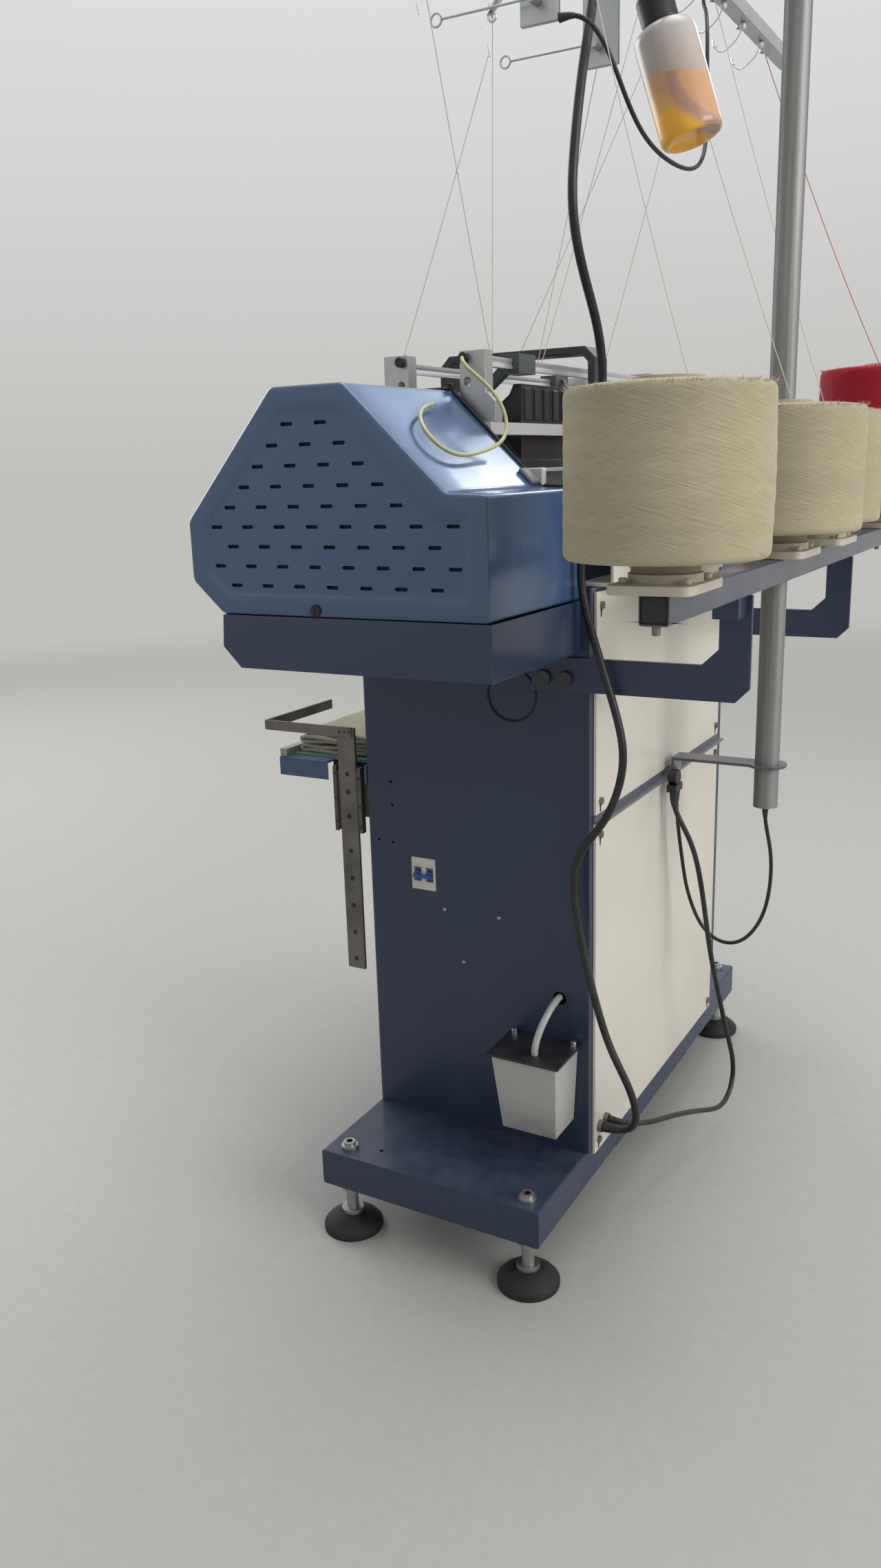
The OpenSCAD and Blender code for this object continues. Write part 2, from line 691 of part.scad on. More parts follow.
// The waste oil box: a tapered tub, hung on the column by its back wall
module waste_box() {
    color("#d8dad6") difference() {
        hull() {
            translate([outer_x + seat, 31, 272]) cube([72, 90, 1]);
            translate([outer_x + seat, 39, 166]) cube([58, 76, 1]);
        }
        hull() {
            translate([outer_x + 2, 33, 273]) cube([68, 86, 1]);
            translate([outer_x + 2, 41, 168]) cube([54, 72, 1]);
        }
    }
}
module waste_lid() {
    color("#17181a") difference() {
        union() {
            span_box([outer_x + seat, 26, 273 + seat], [outer_x + 77, 126, 277]);
            for (y = [34, 118]) translate([outer_x + 9, y, 277]) cylinder(h = 6, r = 4);
        }
        translate([outer_x + 54, 84, 270]) cylinder(h = 10, r = 5.5);
    }
}

// The table's two arms: a level plate bolted to each column, turned up at its end
arm_x = outer_x + seat;
arm_outline = [
    [62, 737], [311, 737], [tube_y + tube_side, 753], [tube_y + tube_side, tube_z - seat],
    [291, tube_z - seat], [291, 796], [272, 778], [62, 778]
];
module table_arms() {
    color("#2b4a8a") both_ends() {
        difference() {
            along_x(arm_x, arm_t) polygon(arm_outline);
            for (y = [80, 108]) rod_x(arm_x - 1, arm_t + 2, y, 753, 4);
        }
        span_box([arm_x + arm_t, 291, tube_z - 24], [arm_x + arm_t + 28, 320, tube_z - seat]);
    }
    color("#17181a") both_ends() for (y = [80, 108]) {
        rod_x(arm_x - 6, arm_t + 6, y, 753, 3.9);
        rod_x(arm_x + arm_t, 6, y, 753, 9);
    }
}

// The square table tube, closed by a black cap at each end
module table_tube() {
    color("#303d6b") difference() {
        along_x(-tube_len / 2, tube_len) polygon(rounded([
            [tube_y, tube_z], [tube_y + tube_side, tube_z],
            [tube_y + tube_side, tube_z + tube_side], [tube_y, tube_z + tube_side]
        ], 3, 2));
        along_x(-tube_len / 2 - 1, tube_len + 2) polygon([
            [tube_y + 2, tube_z + 2], [tube_y + tube_side - 2, tube_z + 2],
            [tube_y + tube_side - 2, tube_z + tube_side - 2], [tube_y + 2, tube_z + tube_side - 2]
        ]);
    }
    color("#101113") both_ends() {
        span_box([tube_len / 2 - 12, tube_y + 2 + seat, tube_z + 2 + seat],
            [tube_len / 2 - 1, tube_y + tube_side - 2 - seat, tube_z + tube_side - 2 - seat]);
        translate([tube_len / 2 - 8, tube_y + tube_side / 2, tube_z - 9]) cylinder(h = 9 + 3, r = 4);
    }
}

// Holders for the packages: a plate on the tube, a ring of bolts and a spindle
package_x = [package_near_x, 110, -109, package_red_r - package_r - package_near_x];
holder_top = tube_z + tube_side + 9;
module cone_holders() {
    color("#ddd6c0") for (x = package_x) translate([x, package_y, 0]) {
        translate([0, 0, tube_z + tube_side + seat]) linear_extrude(9 - seat)
            polygon(rounded([[-52, -40], [52, -40], [52, 40], [-52, 40]], 12));
        translate([0, 0, holder_top]) cylinder(h = 8, r = 34);
        translate([0, 0, holder_top]) cylinder(h = 120, r = 8);
        for (a = [45 : 90 : 315]) rotate(a) translate([42, 0, holder_top]) cylinder(h = 5, r = 4);
    }
}

// A package of yarn wound on its paper tube
module package(x, r, h) {
    translate([x, package_y, 0]) rotate_extrude() polygon([
        [9, holder_top + 8 + seat], [31.5, holder_top + 8 + seat], [31.5, package_z],
        [r - 4, package_z], [r, package_z + 5], [r + 1, package_z + h - 6], [r - 5, package_z + h],
        [32, package_z + h + 2], [32, package_z + h + 6], [29, package_z + h + 6],
        [29, holder_top + 40], [9, holder_top + 40]
    ]);
}
module yarn_package_1() { color("#e5dec3") package(package_x[0], package_r, package_h); }
module yarn_package_2() { color("#e5dec3") package(package_x[1], package_r, package_h - 8); }
module yarn_package_3() { color("#e5dec3") package(package_x[2], package_r - 18, package_h - 8); }
module yarn_package_red() { color("#c8232c") package(package_x[3], package_red_r, package_h + 66); }

// The stainless pole, a tube open at both ends
module pole() {
    color("#b9b6ad") translate([0, pole_y, 544]) difference() {
        cylinder(h = pole_top - 544, r = pole_d / 2);
        translate([0, 0, -1]) cylinder(h = pole_top - 544 + 2, r = pole_d / 2 - 2);
    }
}

// What holds the pole: a flat bar from an angle on the ledge, and a clip on the table tube
module pole_clamps() {
    color("#3a5392") {
        translate([0, 0, 600]) linear_extrude(4) difference() {
            union() {
                translate([-17, back_y + 14 + seat]) square([34, pole_y - back_y - 14]);
                translate([0, pole_y]) circle(r = 26);
            }
            translate([0, pole_y]) circle(r = pole_d / 2 + run_fit);
        }
        difference() {
            along_x(-17, 34) polygon([
                [back_y + 14 + seat, 560], [back_y + 17.5, 560], [back_y + 17.5, 600],
                [back_y + 14 + seat, 600]
            ]);
            rod_y(0, back_y + 13, 6, 580, 3);
        }
    }
    color("#9a9da1") for (z = [tube_z + 6, tube_z + 20]) translate([0, 0, z]) linear_extrude(4)
        difference() {
            union() {
                translate([-28, tube_y - 1.5]) square([56, 1.2]);
                translate([0, pole_y]) circle(r = pole_d / 2 + 3);
            }
            translate([0, pole_y]) circle(r = pole_d / 2 + run_fit);
            translate([-30, tube_y - seat]) square([60, 30]);
        }
    color("#141517") {
        rod_y(20, back_y + 14 + seat, 12, 577, 11);
        span_box([7, back_y + 14 + seat, 558], [35, back_y + 28, 568]);
    }
}

// The yarn guide bar on top of the pole, with its tension units and eyelets
unit_x = [380, 225];
module top_bar() {
    color("#b4b8bc") {
        difference() {
            union() {
                translate([0, pole_y, bar_z - 14]) cylinder(h = 44, r = pole_d / 2 + 5);
                span_box([-10, 170, bar_z], [10, pole_y - 6, bar_z + 14]);
            }
            translate([0, pole_y, bar_z - 15]) cylinder(h = 46, r = pole_d / 2 + run_fit);
        }
        span_box([-430, 150, bar_z - 2], [430, 170 + seat, bar_z + 16]);
    }
    color("#cfd3d6") for (x = unit_x) {
        span_box([x - 3, 110, bar_z - 150], [x + 3, 150, bar_z + 10]);
        rod_x(x - 16, 13, 128, bar_z - 60, 14);
        rod_x(x + 3, 13, 128, bar_z - 60, 14);
        rod_x(x - 20, 40, 128, bar_z - 60, 3);
    }
    color("#e9ebec") for (x = [-360 : 120 : 400]) translate([x, 145, bar_z + 5]) difference() {
        cylinder(h = 6, r = 7);
        translate([0, 0, -1]) cylinder(h = 8, r = 4);
    }
}

// A sprung wire arm on a tension unit, with an eye at its end
module takeup_arm(x) {
    y = 128;
    z = bar_z - 130;
    color("#c9cdd0") {
        rod_x(x + 3.5, 14, y, z, 5);
        rod_y(x + 12, y - 100, 98, z, 1.2);
        difference() {
            rod_x(x + 11, 2, y - 106, z, 7);
            rod_x(x + 10, 4, y - 106, z, 5);
        }
    }
}
module takeup_arm_1() { takeup_arm(unit_x[0]); }
module takeup_arm_2() { takeup_arm(unit_x[1]); }

// An oil bottle hung by its cap from a hook on the bar
module oil_bottle() {
    translate([148, 168, bar_z - 92]) rotate([18, 0, 0]) {
        color("#d98a1c") translate([0, 0, -132]) cylinder(h = 112, r = 35);
        color("#d9cfb0") translate([0, 0, -20]) cylinder(h = 14, r1 = 35, r2 = 24);
        color("#17181a") translate([0, 0, -6]) cylinder(h = 44, r = 21);
    }
    color("#17181a") span_box([145, 151, bar_z - 70], [151, 157, bar_z - 2 - seat]);
}

// The front tray: a channel across the columns with a green mat
module front_tray() {
    color("#2f5aa8") difference() {
        span_box([-outer_x, -331, tray_front_z], [outer_x, front_y - seat, tray_front_top]);
        span_box([-outer_x + 2, -329, tray_front_z - 1],
            [outer_x - 2, front_y - 3, tray_front_top - 3]);
        span_box([outer_x - 17, -250, tray_front_z - 1], [outer_x + 1, -190, tray_front_top + 1]);
    }
    color("#3f7f68") span_box([-200, -325, tray_front_top], [outer_x - 20, -200, tray_front_top + 2]);
}

// Folded cloth on the tray
module fabric_pile() {
    color("#d8cfae") translate([0, 0, tray_front_top + 2 + seat]) for (k = [0 : 3])
        translate([0, 0, 8 * k]) along_x(20 - 6 * k, 215) polygon(rounded([
            [-318 + 5 * k, 0], [-205, 0], [-205, 8], [-318 + 5 * k, 8]
        ], 3.5, 3));
}

// The slide's fixed member: a shallow channel on a bracket from the column
module slide_guide() {
    color("#8a8f93") difference() {
        span_box([slide_x, slide_y, 518], [slide_x + 9, slide_y + slide_w, 610]);
        span_box([slide_x + 2, slide_y + 3, 517], [slide_x + 10, slide_y + slide_w - 3, 611]);
    }
    color("#8a8f93") {
        for (y = [slide_y, slide_y + slide_w - 6])
            span_box([slide_x + 7, y, 518], [slide_x + 9, y + 6, 610]);
        span_box([slide_x + 2, slide_y + 3, 524], [slide_x + 6.5, bar_y - seat, 604]);
        span_box([slide_x + 2, bar_y + 28 + seat, 524], [slide_x + 6.5, slide_y + slide_w - 3, 604]);
    }
    color("#2b4a8a") span_box([slide_x - 4, slide_y + 4, 540], [slide_x, front_y - 4 - seat, 606]);
}

// The press frame: a steel bar that slides in the guide and carries two flat bars over the cloth
module press_frame() {
    color("#8d8a86") {
        difference() {
            span_box([slide_x + 2 + seat, bar_y, 665 - slide_bar_len], [slide_x + 7, bar_y + 28, 665]);
            for (z = [330 : 40 : 500]) rod_x(slide_x + 2, 6, bar_y + 14, z, 3);
        }
        span_box([slide_x + 7, press_front_y, press_z], [slide_x + 10, -211, press_z + 14]);
        span_box([100, press_front_y, press_z], [slide_x + 7, press_front_y + 3, press_z + 14]);
    }
}

// The two take-down rollers under the fabric slot
module takedown_roller(s) {
    rod_x(-inner_x + 8, 2 * inner_x - 16, roller_y(s), roller_z, roller_r);
    rod_x(-inner_x - 8, 2 * inner_x + 16, roller_y(s), roller_z, 8);
}
module pull_roller() { color("#34373a") takedown_roller(0); }
module press_roller() { color("#44484c") takedown_roller(1); }

module main_cable() { color("#141517") cord(main_route, 4.8); }
module panel_cable() { color("#141517") cord(panel_route, 3.6); }
module pole_lead() { color("#1a1b1d") cord(pole_route, 2.6); }
module bottle_hose() { color("#1a1b1d") cord(hose_route, 3, 1); }
module oil_tube() { color("#c9cf6a") cord(oil_route, 2.2, 1); }
module waste_tube() { color("#b9bcb6") cord(waste_route, 4.5); }

// The plan's middle lies between the front of the press frame and the back of the red package
mid_y = (package_y + package_red_r + 1 + press_front_y) / 2;
module placed() {
    translate([0, -mid_y, 0]) children();
}

placed() base_frame();
placed() leveling_pads();
placed() leveling_studs();
placed() column_near();
placed() column_far();
placed() back_tie();
placed() upper_back_panel();
placed() lower_back_panel();
placed() panel_fittings();
placed() back_hood();
placed() front_panel();
placed() bed_beam();
placed() end_plates();
placed() needle_beds();
placed() needles();
placed() guide_rails();
placed() feeder_brackets();
placed() feeder_rails();
placed() yarn_feeder_rear();
placed() yarn_feeder_front();
placed() carriage_body();
placed() carriage_bridge();
placed() drive_motor();
placed() drive_pulley();
placed() idler_pulley();
placed() drive_belt();
placed() tray_near();
placed() tray_far();
placed() cover_near();
placed() cover_far();
placed() cover_lock();
placed() breaker();
placed() breaker_toggle();
placed() waste_box();
placed() waste_lid();
placed() table_arms();
placed() table_tube();
placed() cone_holders();
placed() yarn_package_1();
placed() yarn_package_2();
placed() yarn_package_3();
placed() yarn_package_red();
placed() pole();
placed() pole_clamps();
placed() top_bar();
placed() takeup_arm_1();
placed() takeup_arm_2();
placed() oil_bottle();
placed() front_tray();
placed() fabric_pile();
placed() slide_guide();
placed() press_frame();
placed() pull_roller();
placed() press_roller();
placed() main_cable();
placed() panel_cable();
placed() pole_lead();
placed() bottle_hose();
placed() oil_tube();
placed() waste_tube();
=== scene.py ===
"""A small flat knitting machine, seen from its end: painted stand, end covers, yarn table and yarn pole.

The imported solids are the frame. Everything here is in metres in the same frame: X runs along the needle
beds, Y runs from the cloth tray back to the yarn table, and Z is up from the floor.
"""

import bpy
import numpy as np
from mathutils import Matrix
from mathutils.geometry import delaunay_2d_cdt


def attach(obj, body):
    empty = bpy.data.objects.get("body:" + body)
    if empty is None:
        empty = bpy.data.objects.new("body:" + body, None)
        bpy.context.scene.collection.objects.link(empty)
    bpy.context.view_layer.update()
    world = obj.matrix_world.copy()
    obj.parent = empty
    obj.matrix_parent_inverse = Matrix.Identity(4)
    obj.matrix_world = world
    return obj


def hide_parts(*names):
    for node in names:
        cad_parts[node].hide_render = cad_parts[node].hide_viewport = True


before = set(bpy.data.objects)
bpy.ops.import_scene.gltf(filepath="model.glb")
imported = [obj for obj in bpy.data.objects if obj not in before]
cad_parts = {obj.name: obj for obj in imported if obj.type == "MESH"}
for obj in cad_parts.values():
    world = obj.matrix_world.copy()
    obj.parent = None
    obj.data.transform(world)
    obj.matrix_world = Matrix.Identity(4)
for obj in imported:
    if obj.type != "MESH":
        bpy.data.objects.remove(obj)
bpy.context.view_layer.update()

# The studio: the camera stands where the photographer stood, beside the machine's near end, a little
# above the table. A pale floor runs to a pale background, under wide soft lamps.


def spots(*points):
    """Points of the machine's drawing, in millimetres from its column's middle, as metres in the frame.

    The drawing's Y is measured 28 mm in front of the frame's, so p = (x, y - 28, z) / 1000.
    """
    return (np.array(points, float) - [0, 28, 0]) / 1000


def camera_at(place, right, up, lens):
    """A camera whose X is right, Y is up and Z is right x up, with a lens on a 36 mm long side."""
    right, up = np.array(right), np.array(up)
    made = bpy.data.objects.new("camera", bpy.data.cameras.new("camera"))
    turn = Matrix(np.column_stack([right, up, np.cross(right, up)]).tolist()).to_4x4()
    made.matrix_world = Matrix.Translation(place) @ turn
    made.data.lens, made.data.sensor_width, made.data.clip_start = lens, 36, 0.01
    bpy.context.scene.collection.objects.link(made)
    bpy.context.scene.camera = made


def softbox(name, place, target, size, power, tint=(1, 1, 1)):
    """A rectangular area lamp at place, facing target, with power in watts."""
    lamp = bpy.data.lights.new(name, "AREA")
    lamp.shape, lamp.size, lamp.size_y = "RECTANGLE", *size
    lamp.energy, lamp.color = power, tint
    made = bpy.data.objects.new(name, lamp)
    aim = Matrix.Translation(place).to_translation() - Matrix.Translation(target).to_translation()
    made.matrix_world = Matrix.Translation(place) @ aim.to_track_quat("Z", "Y").to_matrix().to_4x4()
    bpy.context.scene.collection.objects.link(made)


camera_at(place=spots([1567.8, 674.4, 1000.6])[0], right=(-0.49034, 0.87103, -0.02940),
          up=(-0.23721, -0.10092, 0.96620), lens=27.456)
softbox("far window", (-4.4, 0.1, 3.3), (0.3, 0, 1.0), (0.7, 0.8), 8.5, (0.96, 0.98, 1))
softbox("far wall", (-4.7, -0.35, 3.8), (0.3, 0, 1.0), (1.5, 1.7), 8, (0.35, 0.6, 1))
softbox("far lights", (-4.38, -0.75, 3.12), (0.3, 0, 1.0), (0.3, 0.5), 3.5)
softbox("ceiling", (-0.4, 0.2, 4.4), (0, 0, 0.6), (3.4, 2.4), 85)
softbox("back side", (0.6, 4.6, 2.6), (0, 0, 0.8), (3.2, 2.4), 130)
softbox("front side", (-1.6, -4.2, 2.4), (0, 0, 0.8), (2.6, 2.2), 60)


class Signal:
    """A value carried between nodes. Sums, products and comparisons on it add the Math nodes."""

    def __init__(self, tree, socket):
        self.tree, self.socket = tree, socket

    def maths(self, operation, *values):
        return self.tree.node("Math", {"operation": operation}, dict(enumerate(values)))

    def __add__(self, other):
        return self.maths("ADD", self, other)

    def __sub__(self, other):
        return self.maths("SUBTRACT", self, other)

    def __rsub__(self, other):
        return self.maths("SUBTRACT", other, self)

    def __mul__(self, other):
        return self.maths("MULTIPLY", self, other)

    def __gt__(self, other):
        return self.maths("GREATER_THAN", self, other)

    __radd__, __rmul__ = __add__, __mul__

    def larger(self, other):
        return self.maths("MAXIMUM", self, other)

    def sine(self):
        return self.maths("SINE", self)

    def rise(self, low, high):
        """0 below low and 1 above high, in a straight line between."""
        return self.tree.node("MapRange", {}, {"Value": self, "From Min": low, "From Max": high})


class Tree:
    """A node tree, emptied, and the nodes that its methods add."""

    def __init__(self, tree):
        self.nodes, self.links = tree.nodes, tree.links
        self.nodes.clear()

    def node(self, kind, settings=None, values=None, output=0):
        """Adds a node, makes its settings first, then gives its sockets their values or links.

        A kind without the word Node in it is a shader node's.
        """
        made = self.nodes.new(kind if "Node" in kind else "ShaderNode" + kind)
        for key, setting in (settings or {}).items():
            setattr(made, key, setting)
        for key, value in (values or {}).items():
            if isinstance(value, Signal):
                self.links.new(value.socket, made.inputs[key])
            else:
                made.inputs[key].default_value = value
        return None if output is None else Signal(self, made.outputs[output])

    def blend(self, share, plain, changed):
        """The colour plain where share is 0 and changed where it is 1."""
        plain, changed = ((*c, 1) if isinstance(c, tuple) else c for c in (plain, changed))
        return self.node("Mix", {"data_type": "RGBA"}, {0: share, 6: plain, 7: changed}, 2)


class Finish(Tree):
    """One surface finish: a material, and the shader nodes that its methods add."""

    def __init__(self, name):
        self.material = bpy.data.materials.new(name)
        self.material.use_nodes = True
        super().__init__(self.material.node_tree)

    def place(self, stretch=(1, 1, 1)):
        """The point on the piece, in metres, stretched."""
        return self.node("Mapping", {}, {"Vector": self.node("TexCoord", output="Object"), "Scale": stretch})

    def cloud(self, scale, detail=2, where=None, stretch=(1, 1, 1)):
        """Soft noise from 0 to 1 with scale lumps to the metre."""
        where = where or self.place(stretch)
        return self.node("TexNoise", {}, {"Vector": where, "Scale": scale, "Detail": detail})

    def height(self, where=None):
        """The Z of a vector: of the point on the piece, unless another is given."""
        return self.node("SeparateXYZ", {}, {0: where or self.place()}, "Z")

    def upward(self):
        """How far the surface faces up: 1 on a level top, 0 on a wall, -1 underneath."""
        return self.height(self.node("NewGeometry", output="Normal"))

    def bump(self, height, depth, strength=1.0):
        """A normal that leans as if the surface rose by depth metres where height is 1."""
        return self.node("Bump", {}, {"Height": height, "Distance": depth, "Strength": strength}, "Normal")

    def surface(self, **values):
        """Ends the finish in a Principled shader. Words in a name are parted by an underscore."""
        sockets = {key.replace("_", " "): value for key, value in values.items()}
        shader = self.node("BsdfPrincipled", {}, sockets, "BSDF")
        self.node("OutputMaterial", {}, {"Surface": shader}, None)
        return self


horizon = (0.53, 0.525, 0.5)
floor_finish = Finish("floor")
paving = floor_finish.node("BsdfPrincipled", {}, {"Roughness": 0.6, "Base Color": floor_finish.blend(
    floor_finish.cloud(60, 5), (0.43, 0.42, 0.385), (0.49, 0.48, 0.44))})
distance = floor_finish.node("VectorMath", {"operation": "LENGTH"}, {0: floor_finish.place()}, "Value")
haze_light = floor_finish.node("Emission", {}, {"Color": (*horizon, 1)})
faded = floor_finish.node("MixShader", {}, {0: distance.rise(2.6, 6.5), 1: paving, 2: haze_light})
floor_finish.node("OutputMaterial", {}, {"Surface": faded}, None)
floor_mesh = bpy.data.meshes.new("floor")
floor_mesh.from_pydata([(-30, -30, 0), (30, -30, 0), (30, 30, 0), (-30, 30, 0)], [], [(0, 1, 2, 3)])
floor_mesh.materials.append(floor_finish.material)
floor = bpy.data.objects.new("floor", floor_mesh)
bpy.context.scene.collection.objects.link(floor)

scene = bpy.context.scene
scene.view_settings.view_transform = "Standard"
scene.world = bpy.data.worlds.new("studio")
scene.world.use_nodes = True

# Surfaces are lit by a plain grey world. The camera and reflections see a pale haze, darker at the horizon.
studio = Tree(scene.world.node_tree)
steepness = studio.node("SeparateXYZ", {}, {0: studio.node("TexCoord", output="Generated")}, "Z")
haze = studio.blend((steepness * 0.5 + 0.5).rise(0.5, 0.66), horizon, (0.72, 0.73, 0.74))
straight, mirrored, through = (
    studio.node("LightPath", output=f"Is {ray} Ray") for ray in ("Camera", "Glossy", "Transmission"))
seen = straight.larger(mirrored).larger(through)
backdrop = studio.node("Background", {}, {"Color": studio.blend(seen, (0.42, 0.43, 0.45), haze)})
studio.node("OutputWorld", {}, {"Surface": backdrop}, None)

# The stand: box-section steel welded into a base, with two folded sheet columns on it. All of it is sprayed
# with a blue enamel that has a faint orange peel and collects grey dust on its level faces.


def painted(name, colour, roughness=0.34, dust=0.35, coat=0.35):
    """Sprayed enamel: colour that drifts a little, an orange-peel bump, and dust where it faces up."""
    finish = Finish(name)
    drift = finish.cloud(2.3, 3)
    smear = finish.cloud(14, 4, stretch=(1, 1, 0.35))
    deep = tuple(c * 0.84 for c in colour)
    paint = finish.blend(drift.rise(0.35, 0.65), deep, colour)
    settled = finish.upward().rise(0.75, 0.98) * finish.cloud(30, 4).rise(0.3, 0.75) * dust
    return finish.surface(
        Base_Color=finish.blend(settled, paint, (0.33, 0.33, 0.31)),
        Roughness=smear.rise(0.3, 0.7) * 0.12 + settled * 0.5 + roughness,
        Coat_Weight=coat,
        Coat_Roughness=0.12,
        Normal=finish.bump(finish.cloud(420, 1), 0.00006, 0.5),
    )


# The node group that shades a solid's faces smoothly and keeps its edges sharp: an edge is sharp where its
# two faces meet at more than crease radians.
crease = 0.7
softness = bpy.data.node_groups.new("soft shading", "GeometryNodeTree")
for way in ("INPUT", "OUTPUT"):
    softness.interface.new_socket("Geometry", in_out=way, socket_type="NodeSocketGeometry")
soft = Tree(softness)
shape = soft.node("NodeGroupInput")
shape = soft.node("GeometryNodeRemoveAttribute", {}, {0: shape, "Name": "custom_normal"})
for domain in ("FACE", "EDGE"):
    shape = soft.node("GeometryNodeSetShadeSmooth", {"domain": domain}, {0: shape})
steep = soft.node("GeometryNodeInputMeshEdgeAngle") > crease
shape = soft.node("GeometryNodeSetShadeSmooth", {"domain": "EDGE"},
                  {0: shape, "Selection": steep, "Shade Smooth": False})
soft.node("NodeGroupOutput", {}, {0: shape}, None)


def accent(name, finish, low, high):
    """Gives another finish to the faces of a dressed solid whose middles lie between two corners."""
    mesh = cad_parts[name].data
    middles = np.empty(len(mesh.polygons) * 3)
    mesh.polygons.foreach_get("center", middles)
    chosen = np.empty(len(mesh.polygons), int)
    mesh.polygons.foreach_get("material_index", chosen)
    low, high = spots(low, high)
    inside = ((middles.reshape(-1, 3) > low) & (middles.reshape(-1, 3) < high)).all(1)
    chosen[inside] = len(mesh.materials)
    mesh.materials.append(finish.material)
    mesh.polygons.foreach_set("material_index", chosen)


def modify(made, kind, **settings):
    """Adds a modifier of a kind and makes its settings."""
    added = made.modifiers.new(kind.lower(), kind)
    for key, setting in settings.items():
        setattr(added, key, setting)


def dress(finish, edge, *names):
    """Gives solids a finish, with their edges rounded by a bevel edge millimetres wide."""
    for name in names:
        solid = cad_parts[name]
        solid.data.materials.clear()
        solid.data.materials.append(finish.material)
        modify(solid, "WELD", merge_threshold=0.00001)
        if edge:
            modify(solid, "DECIMATE", decimate_type="DISSOLVE", angle_limit=0.01, delimit={"MATERIAL"})
            modify(solid, "BEVEL", width=edge / 1000, segments=2, limit_method="ANGLE", angle_limit=crease,
                   use_clamp_overlap=False)
        modify(solid, "NODES", node_group=softness)
        modify(solid, "WEIGHTED_NORMAL", keep_sharp=True)


stand_paint = painted("stand enamel", (0.02, 0.036, 0.08), 0.36, 0.12, 0.15)
dress(stand_paint, 0, "base_frame", "column_near", "column_far")
# The rounded back corner of each column gets a lighter, greyer enamel: a painted highlight along the fold.
painted_edge_highlight = painted("column edge painted highlight", (0.1, 0.115, 0.16), 0.3, 0, 0.4)
accent("column_near", painted_edge_highlight, [259.2, 134.2, 118], [266, 141, 861])
accent("column_far", painted_edge_highlight, [-266, 134.2, 118], [-259.2, 141, 861])
dress(painted("panel enamel", (0.03, 0.05, 0.11)), 0.8, "front_panel")
dress(painted("ledge enamel", (0.13, 0.135, 0.165), 0.3, 0.1), 0.4, "back_tie")

# The feet: a dull plated stud with a lock nut under the base and a hexagon socket on top, standing in a
# domed rubber pad that is scuffed and dusty.


def plated(name, colour, roughness=0.16, soiled=0.25, metallic=1.0, grain=(1, 1, 1), patches=22):
    """Bright metal with oily patches, and a fine grain, both drawn out along the stretched axes."""
    finish = Finish(name)
    patch = finish.cloud(patches, 4, stretch=grain).rise(0.4, 0.75) * soiled
    brushed = finish.cloud(900, 2, stretch=grain)
    return finish.surface(
        Base_Color=finish.blend(patch, colour, tuple(c * 0.5 for c in colour)),
        Metallic=metallic,
        Roughness=brushed * 0.16 + patch * 0.4 + roughness,
        Normal=finish.bump(brushed, 0.00003, 0.35),
    )


def moulded(name, colour, roughness=0.5, dust=0.3, grain=260):
    """Rubber or plastic with a fine moulded grain, greyed by dust that lies in patches."""
    finish = Finish(name)
    settled = finish.cloud(40, 4).rise(0.42, 0.72) * (finish.upward().rise(-0.6, 0.9) * 0.7 + 0.3) * dust
    return finish.surface(
        Base_Color=finish.blend(settled, colour, (0.4, 0.39, 0.36)),
        Roughness=settled * 0.3 + roughness,
        Normal=finish.bump(finish.cloud(grain, 2), 0.00012, 0.5),
    )


rubber = moulded("foot rubber", (0.005, 0.0055, 0.005), 0.7, 0.03)
dress(plated("dull stud", (0.42, 0.42, 0.41), 0.3, 0.5), 0.4, "leveling_studs")
# Near-black painted shade for the hexagon sockets of the studs and the keyholes of the back panels.
hole_shade = moulded("painted hole shade", (0.006, 0.006, 0.006), 0.8, 0)
for x in (-392.5, 392.5):
    for y in (-157, 107):
        accent("leveling_studs", hole_shade, [x - 4.4, y - 4.4, 122.4], [x + 4.4, y + 4.4, 128.5])
dress(rubber, 0.8, "leveling_pads")

# The back of the machine: two panels of cream enamelled sheet, each held by pan-head screws, with a hood of
# the same sheet over the head.
cream_paint = painted("cream enamel", (0.74, 0.695, 0.6), 0.34, 0.06, 0.15)
dress(cream_paint, 0.6, "upper_back_panel", "lower_back_panel", "back_hood")
zinc = plated("zinc", (0.24, 0.23, 0.21), 0.34, 0.5)
dress(zinc, 0.3, "panel_fittings")

# The head: dark cast carriers with two sloping needle beds on them, bright rods and bars for the carriage,
# and rails on aluminium blocks for the yarn feeders. The motor, its belt and pulleys lie inside the covers.
dress(painted("cast enamel", (0.035, 0.055, 0.11), 0.45, 0.2, 0.1), 0.8, "bed_beam")
black_steel = plated("blackened steel", (0.07, 0.07, 0.075), 0.28, 0.3, 0.8)
dress(black_steel, 0.5, "end_plates")
bed_steel = plated("bed steel", (0.42, 0.43, 0.44), 0.26, 0.4, 1.0, (0.05, 1, 1))
dress(bed_steel, 0, "needle_beds", "needles")
rod_steel = plated("ground rod", (0.6, 0.61, 0.63), 0.12, 0.2, 1.0, (0.03, 1, 1))
dress(rod_steel, 0, "pull_roller", "press_roller")
dress(plated("bright bar", (0.66, 0.67, 0.69), 0.34, 0.1, 0.55, (0.03, 1, 1), 60), 0, "guide_rails")
dress(plated("feeder rail", (0.7, 0.71, 0.73), 0.24, 0.1, 0.75, (0.03, 1, 1), 60), 0, "feeder_rails")
dress(plated("milled aluminium", (0.52, 0.53, 0.52), 0.3, 0.25, 0.9), 0.7, "feeder_brackets")
dress(moulded("feeder moulding", (0.05, 0.065, 0.06), 0.4, 0.1), 0.6, "yarn_feeder_rear", "yarn_feeder_front")
dress(black_steel, 0.6, "carriage_body")
dress(plated("bridge casting", (0.06, 0.062, 0.065), 0.35, 0.3, 0.7), 1.5, "carriage_bridge")
dress(moulded("motor case", (0.03, 0.03, 0.034), 0.4), 1.0, "drive_motor")
dress(plated("pulley steel", (0.4, 0.41, 0.42), 0.25), 0, "drive_pulley", "idler_pulley")
dress(moulded("belt rubber", (0.02, 0.02, 0.02), 0.7), 0, "drive_belt")

